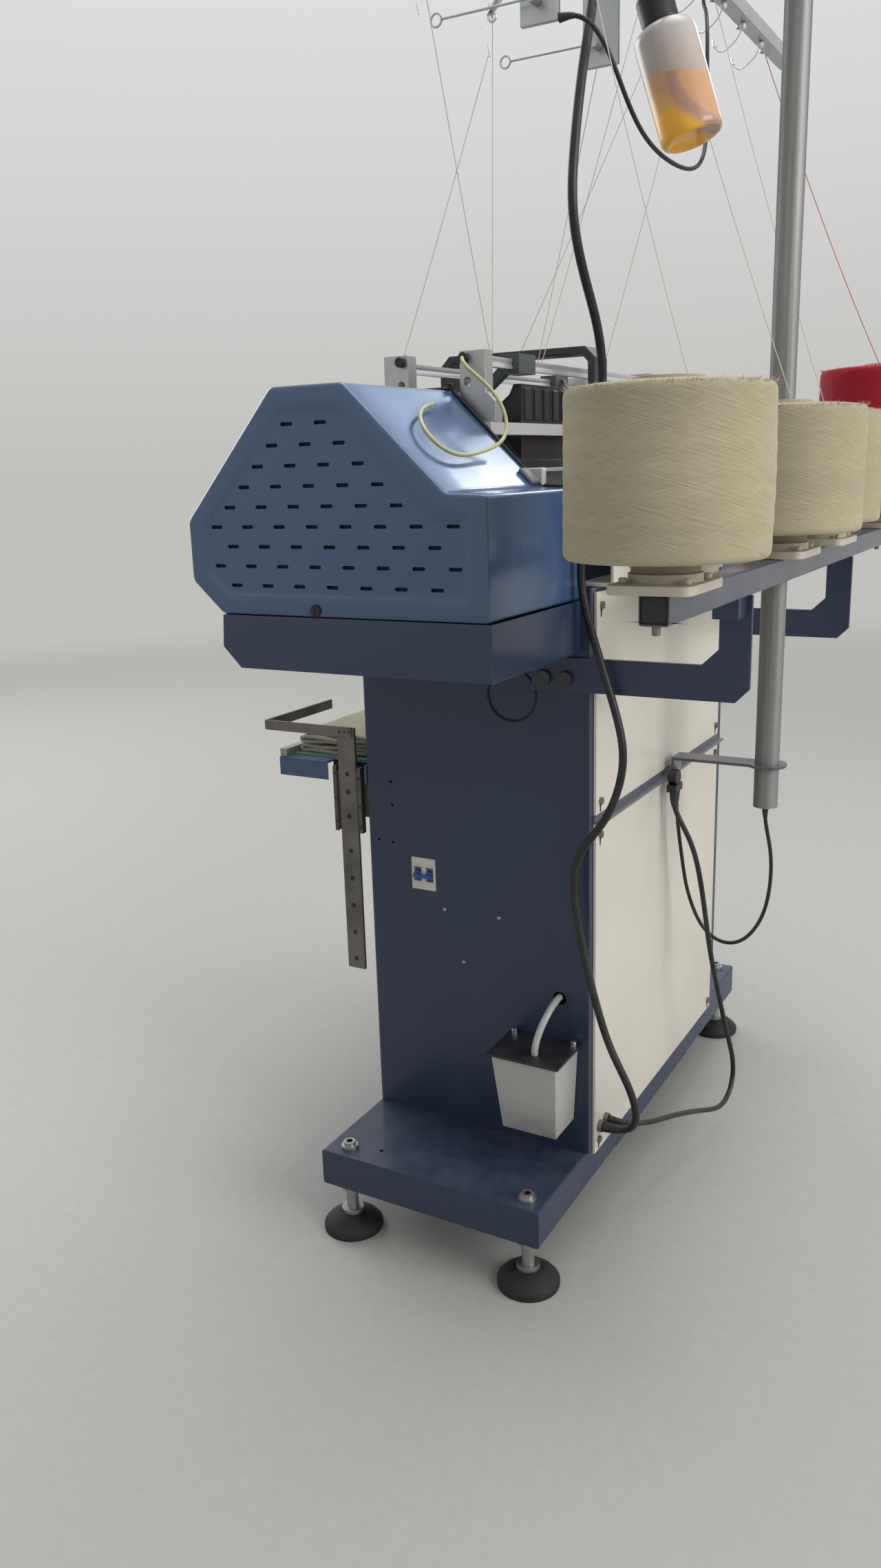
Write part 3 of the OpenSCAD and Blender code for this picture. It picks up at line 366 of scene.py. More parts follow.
# The end covers: each is a hood of 2 mm sheet, folded to eight corners, with its outer end drawn over in a
# soft radius. A shallow field is pressed into that end and pierced by rows of short vent slots.
cover_outline = np.array([
    [-221, 845.3], [122, 845.3], [122, 973], [74, 975.5], [-43.5, 1088], [-136, 1088], [-262, 950],
    [-262, 882.3]])
# Each row of slots, from the top: the Y of its first slot, and how many it has.
slot_rows = [
    (-117, 2), (-138, 3), (-159, 4), (-179.5, 5), (-201, 6), (-221.5, 8), (-200, 7), (-220, 8), (-198.5, 7)]
slot_half, slot_pitch, row_drop, top_row = np.array([7.75, 2]), 43.4, 21.4, 1049.5
slot_centres = np.array([
    (y + slot_pitch * k, top_row - row_drop * row)
    for row, (y, count) in enumerate(slot_rows) for k in range(count)])


def drawn_in(outline, distance):
    """A counter-clockwise outline moved inwards: each corner goes to p + (m + n) d / (1 + m.n).

    m and n are the inward unit normals of the corner's two edges.
    """
    edges = outline - np.roll(outline, 1, 0), np.roll(outline, -1, 0) - outline
    m, n = (edge @ [[0, 1], [-1, 0]] / np.linalg.norm(edge, axis=1)[:, None] for edge in edges)
    return outline + (m + n) * distance / (1 + (m * n).sum(1))[:, None]


def round_corners(outline, reach, steps=6):
    """Each corner p becomes the curve (1-s)^2 u + 2 s (1-s) p + s^2 v, with u and v at reach from p."""
    edges = np.roll(outline, 1, 0) - outline, np.roll(outline, -1, 0) - outline
    u, v = ((outline + reach * edge / np.linalg.norm(edge, axis=1)[:, None])[:, None] for edge in edges)
    s = np.linspace(0, 1, steps + 1)[None, :, None]
    return ((1 - s) ** 2 * u + 2 * s * (1 - s) * outline[:, None] + s**2 * v).reshape(-1, 2)


def piece(name, points, faces, finish, body="machine", smooth=True, uv=None):
    """A mesh of points in metres that rides on a body. uv gives each corner of each face its place."""
    made = bpy.data.objects.new(name, bpy.data.meshes.new(name))
    made.data.from_pydata(np.asarray(points).reshape(-1, 3).tolist(), [], [tuple(map(int, f)) for f in faces])
    made.data.polygons.foreach_set("use_smooth", [smooth] * len(made.data.polygons))
    if uv is not None:
        made.data.uv_layers.new(name="UVMap").data.foreach_set("uv", np.asarray(uv, float).ravel())
    made.data.materials.append(finish.material)
    bpy.context.scene.collection.objects.link(made)
    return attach(made, body)


def lattice(rows, columns, closed=False):
    """The four corners of each cell of a grid of points, row after row.

    closed joins the last column to the first.
    """
    row, column = np.mgrid[0 : rows - 1, 0 : columns if closed else columns - 1]
    here, there = row * columns + column, row * columns + (column + 1) % columns
    return np.stack([here, there, there + columns, here + columns], -1).reshape(-1, 4)


def pierced(field):
    """Points and triangles that fill an outline round the slots: a triangulation that keeps to the edges of
    the outline and of every slot, less the triangles whose middle lies in a slot."""
    slots = slot_centres[:, None] + round_corners(slot_half * [[-1, -1], [1, -1], [1, 1], [-1, 1]], 1.6, 2)
    flat = np.concatenate([field, slots.reshape(-1, 2)])
    loops = np.split(np.arange(len(flat)), range(len(field), len(flat), slots.shape[1]))
    edges = [edge for loop in loops for edge in zip(np.roll(loop, 1).tolist(), loop.tolist())]
    corners, _, triangles, *_ = delaunay_2d_cdt([tuple(p) for p in flat], edges, [], 1, 1e-6)
    corners, triangles = np.array(corners), np.array(triangles)
    from_slots = np.abs(corners[triangles].mean(1)[:, None] - slot_centres)
    return corners, triangles[~(from_slots < slot_half - 0.01).all(2).any(1)]


def hood(name, node, head_x, end_x, finish):
    """The shell is the outline carried along X, with an end that turns in by r (1 - cos t) at r sin t."""
    way, radius = int(np.sign(end_x)), 4
    turn = np.linspace(0, np.pi / 2, 7)
    # Past the turn the end is flat as far as the pressed field, which lies 1.5 mm deeper.
    insets = np.concatenate([[0, 0], radius * (1 - np.cos(turn)), [14, 22.2, 22.7, 23.5, 24]])
    depths = np.concatenate([[abs(end_x - head_x), 60], radius * (1 - np.sin(turn)), [0, 0, 0.2, 1.3, 1.5]])
    rings = [round_corners(drawn_in(cover_outline, inset), max(5.5 - inset * 0.1, 3)) for inset in insets]
    along, count = end_x - way * depths, len(rings[0])
    shell = np.concatenate([np.column_stack([np.full(count, x), ring]) for x, ring in zip(along, rings)])
    # The underside is open from the head to 60 mm from the end, past the end of the first corner's curve.
    cells = lattice(len(rings), count, closed=True)
    curve_end = count // len(cover_outline) - 1
    cells = cells[(cells[:, 0] >= count) | (cells[:, 0] % count != curve_end)]
    corners, triangles = pierced(rings[-1])
    plate = np.column_stack([np.full(len(corners), along[-1]), corners])
    faces = cells.tolist() + (triangles + len(shell)).tolist()
    made = piece(name, spots(*np.concatenate([shell, plate])), faces, finish)
    modify(made, "WELD", merge_threshold=0.00002)
    modify(made, "SOLIDIFY", thickness=0.0018, offset=-1)
    modify(made, "NODES", node_group=softness)
    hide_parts(node)
    # Behind the slots lies a dark sheet of painted shade, which stands for the dark inside of the hood.
    shade_outline = drawn_in(cover_outline, 25)
    shade_outline = np.concatenate([np.column_stack([np.full(8, end_x - way * d), shade_outline]) for d in (6.5, 9)])
    faces = lattice(2, 8, closed=True)[:, ::-way].tolist()
    faces += [np.arange(8)[::way], np.arange(8, 16)[::-way]]
    piece(name + "_slot_shade", spots(*shade_outline), faces, slot_shade_sheet, smooth=False)


cover_paint = painted("cover enamel", (0.05, 0.1, 0.215), 0.2, 0.06, 0.6)
# Painted shade: the dark bluish sheet seen through the vent slots.
slot_shade_sheet = moulded("painted slot shade", (0.022, 0.038, 0.068), 0.9, 0)
hood("near_hood", "cover_near", 266.5, 495, cover_paint)
hood("far_hood", "cover_far", -332, -495, cover_paint)
tray_paint = painted("tray enamel", (0.026, 0.045, 0.1), 0.3, 0.1, 0.3)
dress(tray_paint, 1.0, "tray_near", "tray_far")
dress(plated("lock", (0.06, 0.06, 0.065), 0.35), 0.3, "cover_lock")

# The electrics and the waste oil box on the near column: a white two-pole breaker with one blue lever,
# and a milky tub with a black lid.
dress(moulded("breaker case", (0.6, 0.585, 0.53), 0.4, 0.2), 0.5, "breaker")
dress(moulded("breaker lever", (0.03, 0.08, 0.3), 0.35, 0.05), 0.4, "breaker_toggle")
milky = Finish("milky tub")
stain = (1 - milky.height().rise(0.168, 0.215)) * milky.cloud(25, 4).rise(0.2, 0.7)
milky.surface(
    Base_Color=milky.blend(stain * 0.75, (0.46, 0.455, 0.43), (0.2, 0.19, 0.17)),
    Roughness=0.38, Subsurface_Weight=0.25, Subsurface_Radius=(0.01, 0.01, 0.008),
    Normal=milky.bump(milky.cloud(60, 2), 0.0004, 0.4))
dress(milky, 1.5, "waste_box")
black_plastic = moulded("black plastic", (0.012, 0.013, 0.014), 0.42, 0.04)
dress(black_plastic, 0.6, "waste_lid")
accent("waste_lid", plated("chrome", (0.72, 0.73, 0.75), 0.1), [260, 20, 277.1], [350, 140, 290])
accent("feeder_brackets", black_plastic, [255.2, -34, 1117], [264, -20, 1131])
accent("feeder_brackets", black_plastic, [255.2, -121, 1117], [264, -107, 1131])

# The yarn table: two bolted plate arms, a square tube with black plugs, and cream holders whose spindles
# carry the packages. The stainless pole stands between it and the machine and carries the guide bar.
arm_paint = painted("arm enamel", (0.026, 0.04, 0.09), 0.36, 0.15, 0.2)
dress(arm_paint, 0.8, "table_arms")
dress(painted("tube enamel", (0.045, 0.052, 0.085), 0.28, 0.3, 0.4), 1.2, "table_tube")
for side in (-1, 1):
    inner, outer = sorted((side * 533.5, side * 545.5))
    accent("table_tube", black_plastic, [inner, 300.1, 859.1], [outer, 324.9, 883.9])
    accent("table_tube", zinc, [inner, 300.1, 847], [outer, 324.9, 857.1])
    inner, outer = sorted((side * 250, side * 285))
    accent("table_arms", black_steel, [inner, 70, 743], [outer, 90, 763])
    accent("table_arms", black_steel, [inner, 98, 743], [outer, 118, 763])
dress(painted("bracket enamel", (0.1, 0.1, 0.13), 0.3, 0.2), 0.5, "pole_clamps")
accent("pole_clamps", black_plastic, [6.5, 150, 550], [36, 200, 590])
accent("pole_clamps", zinc, [-60, 200, 850], [60, 330, 900])
# The bracket's leg gets a paler copy of the bracket enamel: painted light where the leg is lit.
leg_painted_light = painted("bracket leg painted light", (0.36, 0.355, 0.36), 0.3, 0.1)
accent("pole_clamps", leg_painted_light, [-18, 150, 558], [6.4, 158, 600.5])
dress(moulded("holder plastic", (0.56, 0.52, 0.42), 0.42, 0.25), 0.8, "cone_holders")
dress(plated("drawn stainless", (0.3, 0.296, 0.288), 0.5, 0.75, 0.8, (1, 1, 0.012), 110), 0, "pole")
dress(plated("zinc bar", (0.5, 0.51, 0.52), 0.25), 0.6, "top_bar", "takeup_arm_1", "takeup_arm_2")

# The cloth tray at the front: a painted shelf with a green mat on it, a drawer slide on a bracket from the
# near column, and a dull steel press frame that rides in the slide and reaches over the cloth.
dress(painted("shelf enamel", (0.05, 0.1, 0.2), 0.35, 0.3, 0.3), 0.6, "front_tray")
mat = moulded("tray mat", (0.045, 0.17, 0.12), 0.6, 0.3, 150)
accent("front_tray", mat, [-210, -330, 616.05], [250, -195, 619])
dress(plated("slide steel", (0.13, 0.125, 0.12), 0.4, 0.5, 0.8), 0.3, "slide_guide")
dress(plated("dull bar", (0.2, 0.185, 0.17), 0.42, 0.6, 0.85), 0.6, "press_frame")

# The packages: yarn wound in long crossing turns on a paper tube, with swollen shoulders and a slightly
# untidy top. Their height and radius follow the solids that they stand for.


def wound(name, colour):
    """Fine threads as noise drawn out along two directions, 17 degrees up and 17 down round the package.

    The difference of two broader noises, drawn out the same way, picks the layer that lies on top.
    """
    finish = Finish(name)
    threads, bands = [], []
    for lean, fine, broad in ((0.3, 760, 120), (-0.3, 720, 105)):
        slope = finish.node("Mapping", {}, {"Vector": finish.node("UVMap"), "Rotation": (0, 0, lean)})
        drawn = finish.node("Mapping", {}, {"Vector": slope, "Scale": (0.035, 1, 1)})
        threads.append(finish.cloud(fine, 3, drawn).rise(0.25, 0.75))
        drawn = finish.node("Mapping", {}, {"Vector": slope, "Scale": (0.1, 1, 1)})
        bands.append(finish.cloud(broad, 3, drawn))
    above = (bands[0] - bands[1] + 0.5).rise(0.42, 0.58)
    thread = threads[0] * (above * 0.5 + 0.35) + threads[1] * (0.65 - above * 0.5)
    drift = finish.cloud(5, 3, stretch=(0.3, 0.3, 3)).rise(0.3, 0.7)
    fuzz = finish.cloud(900, 3)
    shade = thread * 0.6 + drift * 0.22 + fuzz * 0.18
    dark, pale = tuple(c * 0.68 for c in colour), tuple(min(1, c * 1.1) for c in colour)
    return finish.surface(
        Base_Color=finish.blend(shade.rise(0.15, 0.85), dark, pale),
        Roughness=0.92, Sheen_Weight=0.15, Sheen_Roughness=0.5, Specular_IOR_Level=0.15,
        Normal=finish.bump(thread + fuzz * 0.5, 0.0007, 0.75))


def run_length(line):
    """The length run so far at each point of a line."""
    return np.concatenate([[0], np.cumsum(np.linalg.norm(np.diff(line, axis=0), axis=1))])


def turned(name, axis, profile, finish, turns=128, swell=None, lay=None):
    """A profile of (radius, height) turned round the axis: x = r cos t, y = r sin t, with r + swell(t, s).

    Its seam is on the front, at t = 4 pi / 3, and its UV is the length round at a radius of 90 mm and s.
    A profile that ends where it starts makes a ring, whose first and last rows are given one radius.
    lay may move the points once they are turned.
    """
    profile = np.array(profile, float)
    angle = np.linspace(0, 2 * np.pi, turns + 1)[None, :] - 2 * np.pi / 3
    length = run_length(profile)[:, None]
    radius = profile[:, :1] + (swell(angle, length) if swell else np.zeros_like(angle))
    radius[:, -1] = radius[:, 0]
    if (profile[0] == profile[-1]).all():
        radius[-1] = radius[0]
    x, y = axis[0] + radius * np.cos(angle), axis[1] + radius * np.sin(angle)
    grid = np.stack(np.broadcast_arrays(x, y, profile[:, 1:]), -1).reshape(-1, 3)
    cells = lattice(len(profile), turns + 1)
    place = np.stack(np.broadcast_arrays(angle * 0.09, length / 1000), -1).reshape(-1, 2)
    made = piece(name, spots(*(lay(grid) if lay else grid)), cells, finish, uv=place[cells.ravel()])
    modify(made, "WELD", merge_threshold=0.00001)
    return made


table_y, holder_top, package_floor = 312.5, 895, 915
cream_yarn, red_yarn = wound("cream yarn", (0.5, 0.44, 0.29)), wound("red yarn", (0.42, 0.018, 0.03))
card = moulded("paper tube", (0.42, 0.34, 0.24), 0.8, 0.1, 120)


def shoulder(radius, height):
    """The package's outline from its bottom bore up its side and in over its top, with soft shoulders."""
    s = np.linspace(0, 1, 9) * np.pi / 2
    side = np.linspace(0, 1, 26)[1:-1]
    bulge = 0.7 * np.sin(side * np.pi) + 0.25 * np.sin(side * 40)
    return np.concatenate([
        [[32, 1.5], [50, 0.4], [radius - 20, 0]],
        np.column_stack([radius - 6 + 6 * np.sin(s), 7 - 7 * np.cos(s)]),
        np.column_stack([radius + bulge, 7 + side * (height - 17)]),
        np.column_stack([radius - 7 + 7 * np.cos(s), height - 10 + 9 * np.sin(s)]),
        [[radius - 20, height + 0.6], [60, height + 1.6], [44, height + 1.2], [34, height - 1],
         [32, height - 6], [32, 1.5]]]) + [0, package_floor]


def stray_fibres(name, axis, radius, height, finish, count=420):
    """Short loose hairs along the rim: each is a three-sided tube, thinning to its tip, whose middle line
    runs out by l s along a leaning direction and round the package by c s^2, with l and c drawn by chance."""
    chance = np.random.default_rng(count + int(axis[0]) + 600)
    start, lean, long, turn = (chance.uniform(low, high, count)[:, None] for low, high in (
        (0, 2 * np.pi), (-0.2, 1.3), (2, 6.5), (-5, 5)))
    s = np.linspace(0, 1, 4)[None, :]
    out = radius - 2.2 + long * np.cos(lean) * s
    bearing = start + turn * s**2 / radius
    z = height - 1.5 + long * np.sin(lean) * s
    line = np.stack([axis[0] + out * np.cos(bearing), axis[1] + out * np.sin(bearing), z], -1)
    thin = 0.3 * (1 - 0.75 * s)[..., None, None]
    points = line[:, :, None] + thin * [[1, 0, 0], [-0.5, 0.87, 0], [-0.5, -0.87, 0.2]]
    first = 12 * np.arange(count)[:, None]
    faces = (lattice(4, 3, closed=True) + first[:, None]).reshape(-1, 4).tolist()
    faces += (first + [2, 1, 0]).tolist() + (first + [9, 10, 11]).tolist()
    return piece(name, spots(*points.reshape(-1, 3)), faces, finish)


for name, x, radius, height, yarn, slot in (
        ("yarn_package_1", 515, 92.2, 150, cream_yarn, "cream_yarn"),
        ("yarn_package_2", 110, 92.2, 142, cream_yarn, "cream_yarn"),
        ("yarn_package_3", -109, 74.2, 142, cream_yarn, "cream_yarn"),
        ("yarn_package_red", -511, 96.2, 216, red_yarn, "red_yarn")):
    axis, top = (x, table_y), package_floor + height
    wool = turned(
        name + "_wool", axis, shoulder(radius, height), yarn, turns=160,
        swell=lambda t, s: 0.35 * np.sin(3 * t + x) * np.sin(s / 31) + 0.3 * np.sin(7 * t - s / 23 + x))
    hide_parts(name)
    stray_fibres(name + "_fibres", axis, radius, top - 1.5, yarn)
    turned(name + "_tube", axis, [
        (9.5, holder_top + 8.3), (31.5, holder_top + 8.3), (31.5, top + 5.4), (31.1, top + 6),
        (29.4, top + 6), (29, top + 5.4), (29, holder_top + 10), (9.5, holder_top + 10),
        (9.5, holder_top + 8.3)], card, turns=64)

# The cloth: a knitted length folded back and forth on the tray's mat, soft at its folds, with a
# yellower yarn in its top layer.


def fold_line(layers, front, back, base, pitch):
    """Runs to and fro in Y, rising by a pitch at each half-round fold, with waves of 0.9 sin(y / 13) mm."""
    points, radius = [], pitch / 2
    for k in range(layers):
        out, start, end = (1, front, back) if k % 2 else (-1, back, front)
        y = np.linspace(start, end, 26)
        points.append(np.column_stack([y, base + pitch * k + 0.9 * np.sin((y - front) / 13 + 2.1 * k)]))
        if k < layers - 1:
            t = np.linspace(-np.pi / 2, np.pi / 2, 8)[1:-1]
            middle = base + pitch * (k + 0.5)
            points.append(np.column_stack([end + out * radius * np.cos(t), middle + radius * np.sin(t)]))
    return np.concatenate(points)


knit = Finish("knitted cloth")
across, down = (knit.node("SeparateXYZ", {}, {0: knit.node("UVMap")}, axis) for axis in "XY")
wale, course = 0.0042, 0.0034
rib = (across * (2 * np.pi / wale)).sine() * (down * (2 * np.pi / course)).sine()
stitches = knit.blend(rib.rise(-1, 1), (0.4, 0.37, 0.3), (0.55, 0.52, 0.43))
knit.surface(
    Base_Color=knit.blend(knit.height().rise(0.64, 0.648) * 0.6, stitches, (0.6, 0.56, 0.3)),
    Roughness=0.95, Sheen_Weight=0.3, Specular_IOR_Level=0.1,
    Normal=knit.bump(rib + knit.cloud(300, 3), 0.0008, 0.6))
far_edge, cloth_width = 8, 222
line = fold_line(5, -313, -209, 620.6, 5.9)
run = run_length(line)
along, width = run[:, None], np.linspace(0, 1, 60)
grid = np.stack([
    far_edge + width * cloth_width + 3 * np.sin(along / 47),
    line[:, :1] + 1.2 * np.sin(along / 40 + 5 * width) * np.sin(3 * width * np.pi),
    line[:, 1:] + 0.7 * np.sin(9 * width + along / 55)], -1)
cells = lattice(len(line), 60)
place = np.stack(np.broadcast_arrays(width * cloth_width / 1000, along / 1000), -1).reshape(-1, 2)
cloth = piece("folded_cloth", spots(*grid.reshape(-1, 3)), cells, knit, uv=place[cells.ravel()])
modify(cloth, "SOLIDIFY", thickness=0.0042, offset=0)
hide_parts("fabric_pile")

# The cords: a mains cable, two thinner leads and a hose in black rubber, a yellow oil tube and a clear waste
# tube. Each is a round tube on an eased form of its solid's route, and a black one has a moulded strain
# relief at each end.


def curve(points, n):
    """A Catmull-Rom curve: p = (2b + (c-a)s + (2a-5b+4c-d)s^2 + (3b-a-3c+d)s^3) / 2, n parts to each span."""
    points = np.array(points, float)
    start = np.arange(len(points) - 1)
    a, b, c, d = (points[np.clip(start + k, 0, len(points) - 1)][:, None] for k in (-1, 0, 1, 2))
    s = (np.arange(n) / n)[None, :, None]
    spans = 0.5 * (2 * b + (c - a) * s + (2 * a - 5 * b + 4 * c - d) * s**2 + (3 * b - a - 3 * c + d) * s**3)
    return np.concatenate([spans.reshape(-1, 3), points[-1:]])


def tube(name, route, radii, finish, sides=20):
    """A round tube along a route in millimetres. Its sides' direction is carried along with the least turn:
    each side vector is the last one less its part along the new tangent, made a unit again."""
    route = np.asarray(route, float)
    tangent = np.gradient(route, axis=0)
    tangent /= np.linalg.norm(tangent, axis=1)[:, None]
    side = [np.cross(tangent[0], [0.3, 0.5, 0.81])]
    for t in tangent:
        side.append(side[-1] - t * (side[-1] @ t))
        side[-1] /= np.linalg.norm(side[-1])
    side = np.array(side[1:])
    angle = np.linspace(0, 2 * np.pi, sides, endpoint=False)[None, :, None]
    ring = side[:, None] * np.cos(angle) + np.cross(tangent, side)[:, None] * np.sin(angle)
    points = (route[:, None] + ring * np.broadcast_to(radii, len(route))[:, None, None]).reshape(-1, 3)
    ends = np.arange(sides)
    faces = lattice(len(route), sides, closed=True).tolist() + [ends[::-1], len(points) - sides + ends]
    return piece(name, spots(*points), faces, finish)


lead_rubber = moulded("lead rubber", (0.008, 0.008, 0.009), 0.42, 0.04, 300)
main_route = curve([
    [290, 160, 1557], [290.5, 160, 1545], [296, 160, 1528], [314, 163, 1497], [340, 168, 1435],
    [368, 169, 1368], [386, 169, 1304], [393, 169, 1241], [366, 169, 1187], [326, 168, 1138],
    [306, 166, 1079], [292, 146, 970], [286, 133, 873], [285, 150, 800], [285, 177, 715], [285, 186, 658],
    [285, 165, 589], [285, 130, 540], [285, 124, 495], [285, 134, 425], [285, 150, 360], [284, 172, 290],
    [281, 194, 245], [274, 203, 206], [264, 199, 178], [256, 186, 161], [250, 166, 156],
    [250, 150.6, 156]], 8)
panel_route = curve([
    [27, 162, 557.4], [27, 163, 546], [26, 182, 516], [10, 200, 416], [0, 214, 310], [-56, 228, 156],
    [-76, 230, 118], [-80, 230, 92], [-68, 230, 71], [-44, 229, 62], [-14, 226, 67], [60, 216, 97],
    [150, 204, 132], [200, 196, 148], [222, 183, 154], [229, 168, 156], [230, 150.6, 156]], 8)
pole_route = curve([
    [0, 282, 544], [-4, 292, 466], [-6, 286, 395], [-12, 262, 348], [-14, 234, 330], [-12, 200, 346],
    [-6, 176, 400], [2, 168, 456], [12, 164, 510], [14, 162, 557.4]], 10)
hose_route = curve([
    [380, 150.4, 1412], [380, 157, 1412], [382, 176, 1398], [352, 190, 1372], [318, 200, 1331],
    [262, 206, 1313], [173, 210, 1310], [130, 212, 1320], [92, 206, 1351], [79, 200, 1418], [72, 198, 1470],
    [40, 186, 1515], [-6, 170, 1540], [-20, 162, 1551], [-20, 162, 1557.6]], 8)
oil_route = curve([
    [263.4, -27, 1124], [269, -26, 1122], [274, -17, 1116], [276, -2, 1103], [276, 19, 1084], [277, 33, 1063],
    [281, 40, 1046], [294, 42, 1030], [343, 44, 1018], [392, 46, 1013], [423, 45, 1014], [440, 38, 1022],
    [440, 22, 1038], [421, 6, 1053], [388, -8, 1065], [356, -14, 1069]], 8)
waste_route = curve([[319, 84, 276], [316, 88, 296], [304, 92, 316], [286, 94, 330], [264, 95, 336]], 8)


def along_route(route, lengths):
    """The points of a route at the given lengths from its start."""
    return np.column_stack([np.interp(lengths, run_length(route), axis) for axis in route.T])


def eased(route, leave, arrive, stiffness, step=5, straight=14, reach=90):
    """The line that makes sum w |p - q|^2 + k sum |p before - 2 p + p after|^2 least, with q even on a route.

    Its ends run straight along leave and arrive, and w grows as the square of the distance from the nearer
    end up to 1 at reach, so that a cord bends widely where it enters a housing.
    """
    total = run_length(route)[-1]
    parts = int(total / step)
    lengths = np.linspace(0, total, parts + 1)
    wanted, nearer = along_route(route, lengths), np.minimum(lengths, total - lengths)
    weight = np.clip((nearer / reach) ** 2, 0.0005, 1)
    turning = np.diff(np.eye(parts + 1), 2, axis=0)
    system, right = np.diag(weight) + stiffness * turning.T @ turning, weight[:, None] * wanted
    held = nearer <= straight + 1e-6
    system[held] = np.eye(parts + 1)[held]
    start, end = wanted[0] + np.outer(nearer, leave), wanted[-1] + np.outer(nearer, arrive)
    right[held] = np.where(lengths[held, None] < total / 2, start[held], end[held])
    return np.linalg.solve(system, right)


down, back = (0, 0, -1), (0, 1, 0)
yellow_tube = moulded("oily tube", (0.5, 0.5, 0.22), 0.2, 0.05)
clear_tube = moulded("clear tube", (0.42, 0.44, 0.4), 0.2, 0.1)
for node_name, route, leave, arrive, ease, radius, stiffness, finish, slot_name in (
        ("main_cable", main_route, down, back, (120,), 4.8, "stiff", lead_rubber, "black_rubber"),
        ("panel_cable", panel_route, down, back, (300,), 3.6, "medium", lead_rubber, "black_rubber"),
        ("pole_lead", pole_route, down, down, (60,), 2.6, "medium", lead_rubber, "black_rubber"),
        ("bottle_hose", hose_route, back, down, (1500,), 2.3, "medium", lead_rubber, "black_rubber"),
        ("oil_tube", oil_route, (0.62, 0.45, -0.64), (0.9, 0.2, -0.1), (1500, 2.5, 3, 40), 2.2, "medium",
         yellow_tube, "oil_plastic"),
        ("waste_tube", waste_route, (0, 0, 1), (1, 0, 0), (1500, 2.5, 5), 4.5, "medium", clear_tube,
         "tube_plastic")):
    route = eased(route, leave, arrive, *ease)
    run = tube(node_name + "_run", route, radius, finish)
    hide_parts(node_name)
    path, length = spots(*route), float(run_length(route)[-1]) / 1000
    radius * 2 / 1000
    if finish is lead_rubber:
        for end, line in (("start", route), ("end", route[::-1])):
            reach = np.linspace(0, min(26, 4.5 * radius + 5), 14)
            swell = radius + 2.4 - 1.9 * reach / reach[-1] - 0.5 * (np.arange(14) % 2)
            tube(f"{node_name}_relief_{end}", along_route(line, reach), swell, black_plastic)

# The bottle of needle oil under the guide bar: a soft clear bottle, a little over half full, that hangs by
# its ribbed black cap and leans back. The tube inside it shows through as a darker band, and the lower oil
# is painted a brighter orange, a painted glow of light through it.
oil = Finish("oil bottle")
height_in = oil.height()
empty = oil.blend(height_in.rise(1.405, 1.46), (0.47, 0.385, 0.32), (0.5, 0.465, 0.43))
tube_bend = (0.147, 0.212, 1.413)
from_bend = oil.node("VectorMath", {"operation": "DISTANCE"}, {0: oil.place(), 1: tube_bend}, "Value")
# Painted glow: the oil low in the bottle, away from the tube's bend, is painted a brighter orange, as light
# shining through it.
oil_glow = from_bend.rise(0.066, 0.072) * (1 - height_in.rise(1.362, 1.39))
amber_and_glow = oil.blend(oil_glow, (0.62, 0.345, 0.16), (0.95, 0.48, 0.03))
dip_tube = from_bend.rise(0.052, 0.056) * (1 - from_bend.rise(0.063, 0.067))
filled = oil.blend(dip_tube * 0.75, amber_and_glow, (0.4, 0.25, 0.19))
oil.surface(
    Base_Color=oil.blend(height_in.rise(1.4055, 1.4075), filled, empty),
    Roughness=0.3, Coat_Weight=0.3, Subsurface_Weight=0.35, Subsurface_Radius=(0.02, 0.01, 0.004),
    Normal=oil.bump(oil.cloud(55, 2), 0.0003, 0.3))
bar_z = 1560


def hung(points):
    """Points about the bottle's own line, leaning back by 18 degrees from its cap under the bar."""
    tilt, (x, y, z) = np.radians(18), points.T
    return np.column_stack([x, y * np.cos(tilt) - z * np.sin(tilt), y * np.sin(tilt) + z * np.cos(tilt)]) + [
        148, 168, bar_z - 92]


bottle = turned("bottle", (0, 0), [
    (0, -127), (14, -127.2), (22, -128.5), (26, -130.6), (29.5, -131), (32.6, -129.6), (34.3, -126.5),
    (34.7, -122), (34.8, -92), (34.9, -60), (34.8, -24), (34, -18), (31, -12.5),
    (26, -9), (22, -7.6), (17, -7), (17, -4), (0, -4)], oil, turns=72, lay=hung)
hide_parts("oil_bottle")
ribs = [(20.4 + 0.5 * (k % 2), -5 + 1.4 * k) for k in range(20)]
turned("bottle_cap", (0, 0), [(0, -6), (20, -6), *ribs, (20.4, 24), (19, 26), (9, 27), (8, 37), (0, 37.6)],
       black_plastic, turns=72, lay=hung)

# The guides on the bar: each tension unit carries a pressed arc of bright sheet with two porcelain eyes and
# a wire one, a coil spring and a bent wire, and open wire hooks hang from the bar for the other yarns.


def circle(t, first=2.55934):
    """The unit circle about X: (0, cos, sin) of t, counted from first."""
    return np.stack([0 * t, np.cos(t + first), np.sin(t + first)], -1)


def ring(name, centre, radius, wire, finish):
    """A round wire bent to a circle: p = c + R circle(t)."""
    return tube(name, centre + radius * circle(np.linspace(0, 2 * np.pi, 25)), wire, finish, sides=8)


def arc_line(t):
    """The middle line of a unit's arc: y = 124 - 118 t, z = 1512 + 16 sin(pi (0.25 + 0.62 t)) - 40 t^3."""
    return 124 - 118 * t, 1512 + 16 * np.sin(np.pi * (0.25 + 0.62 * t)) - 40 * t**3


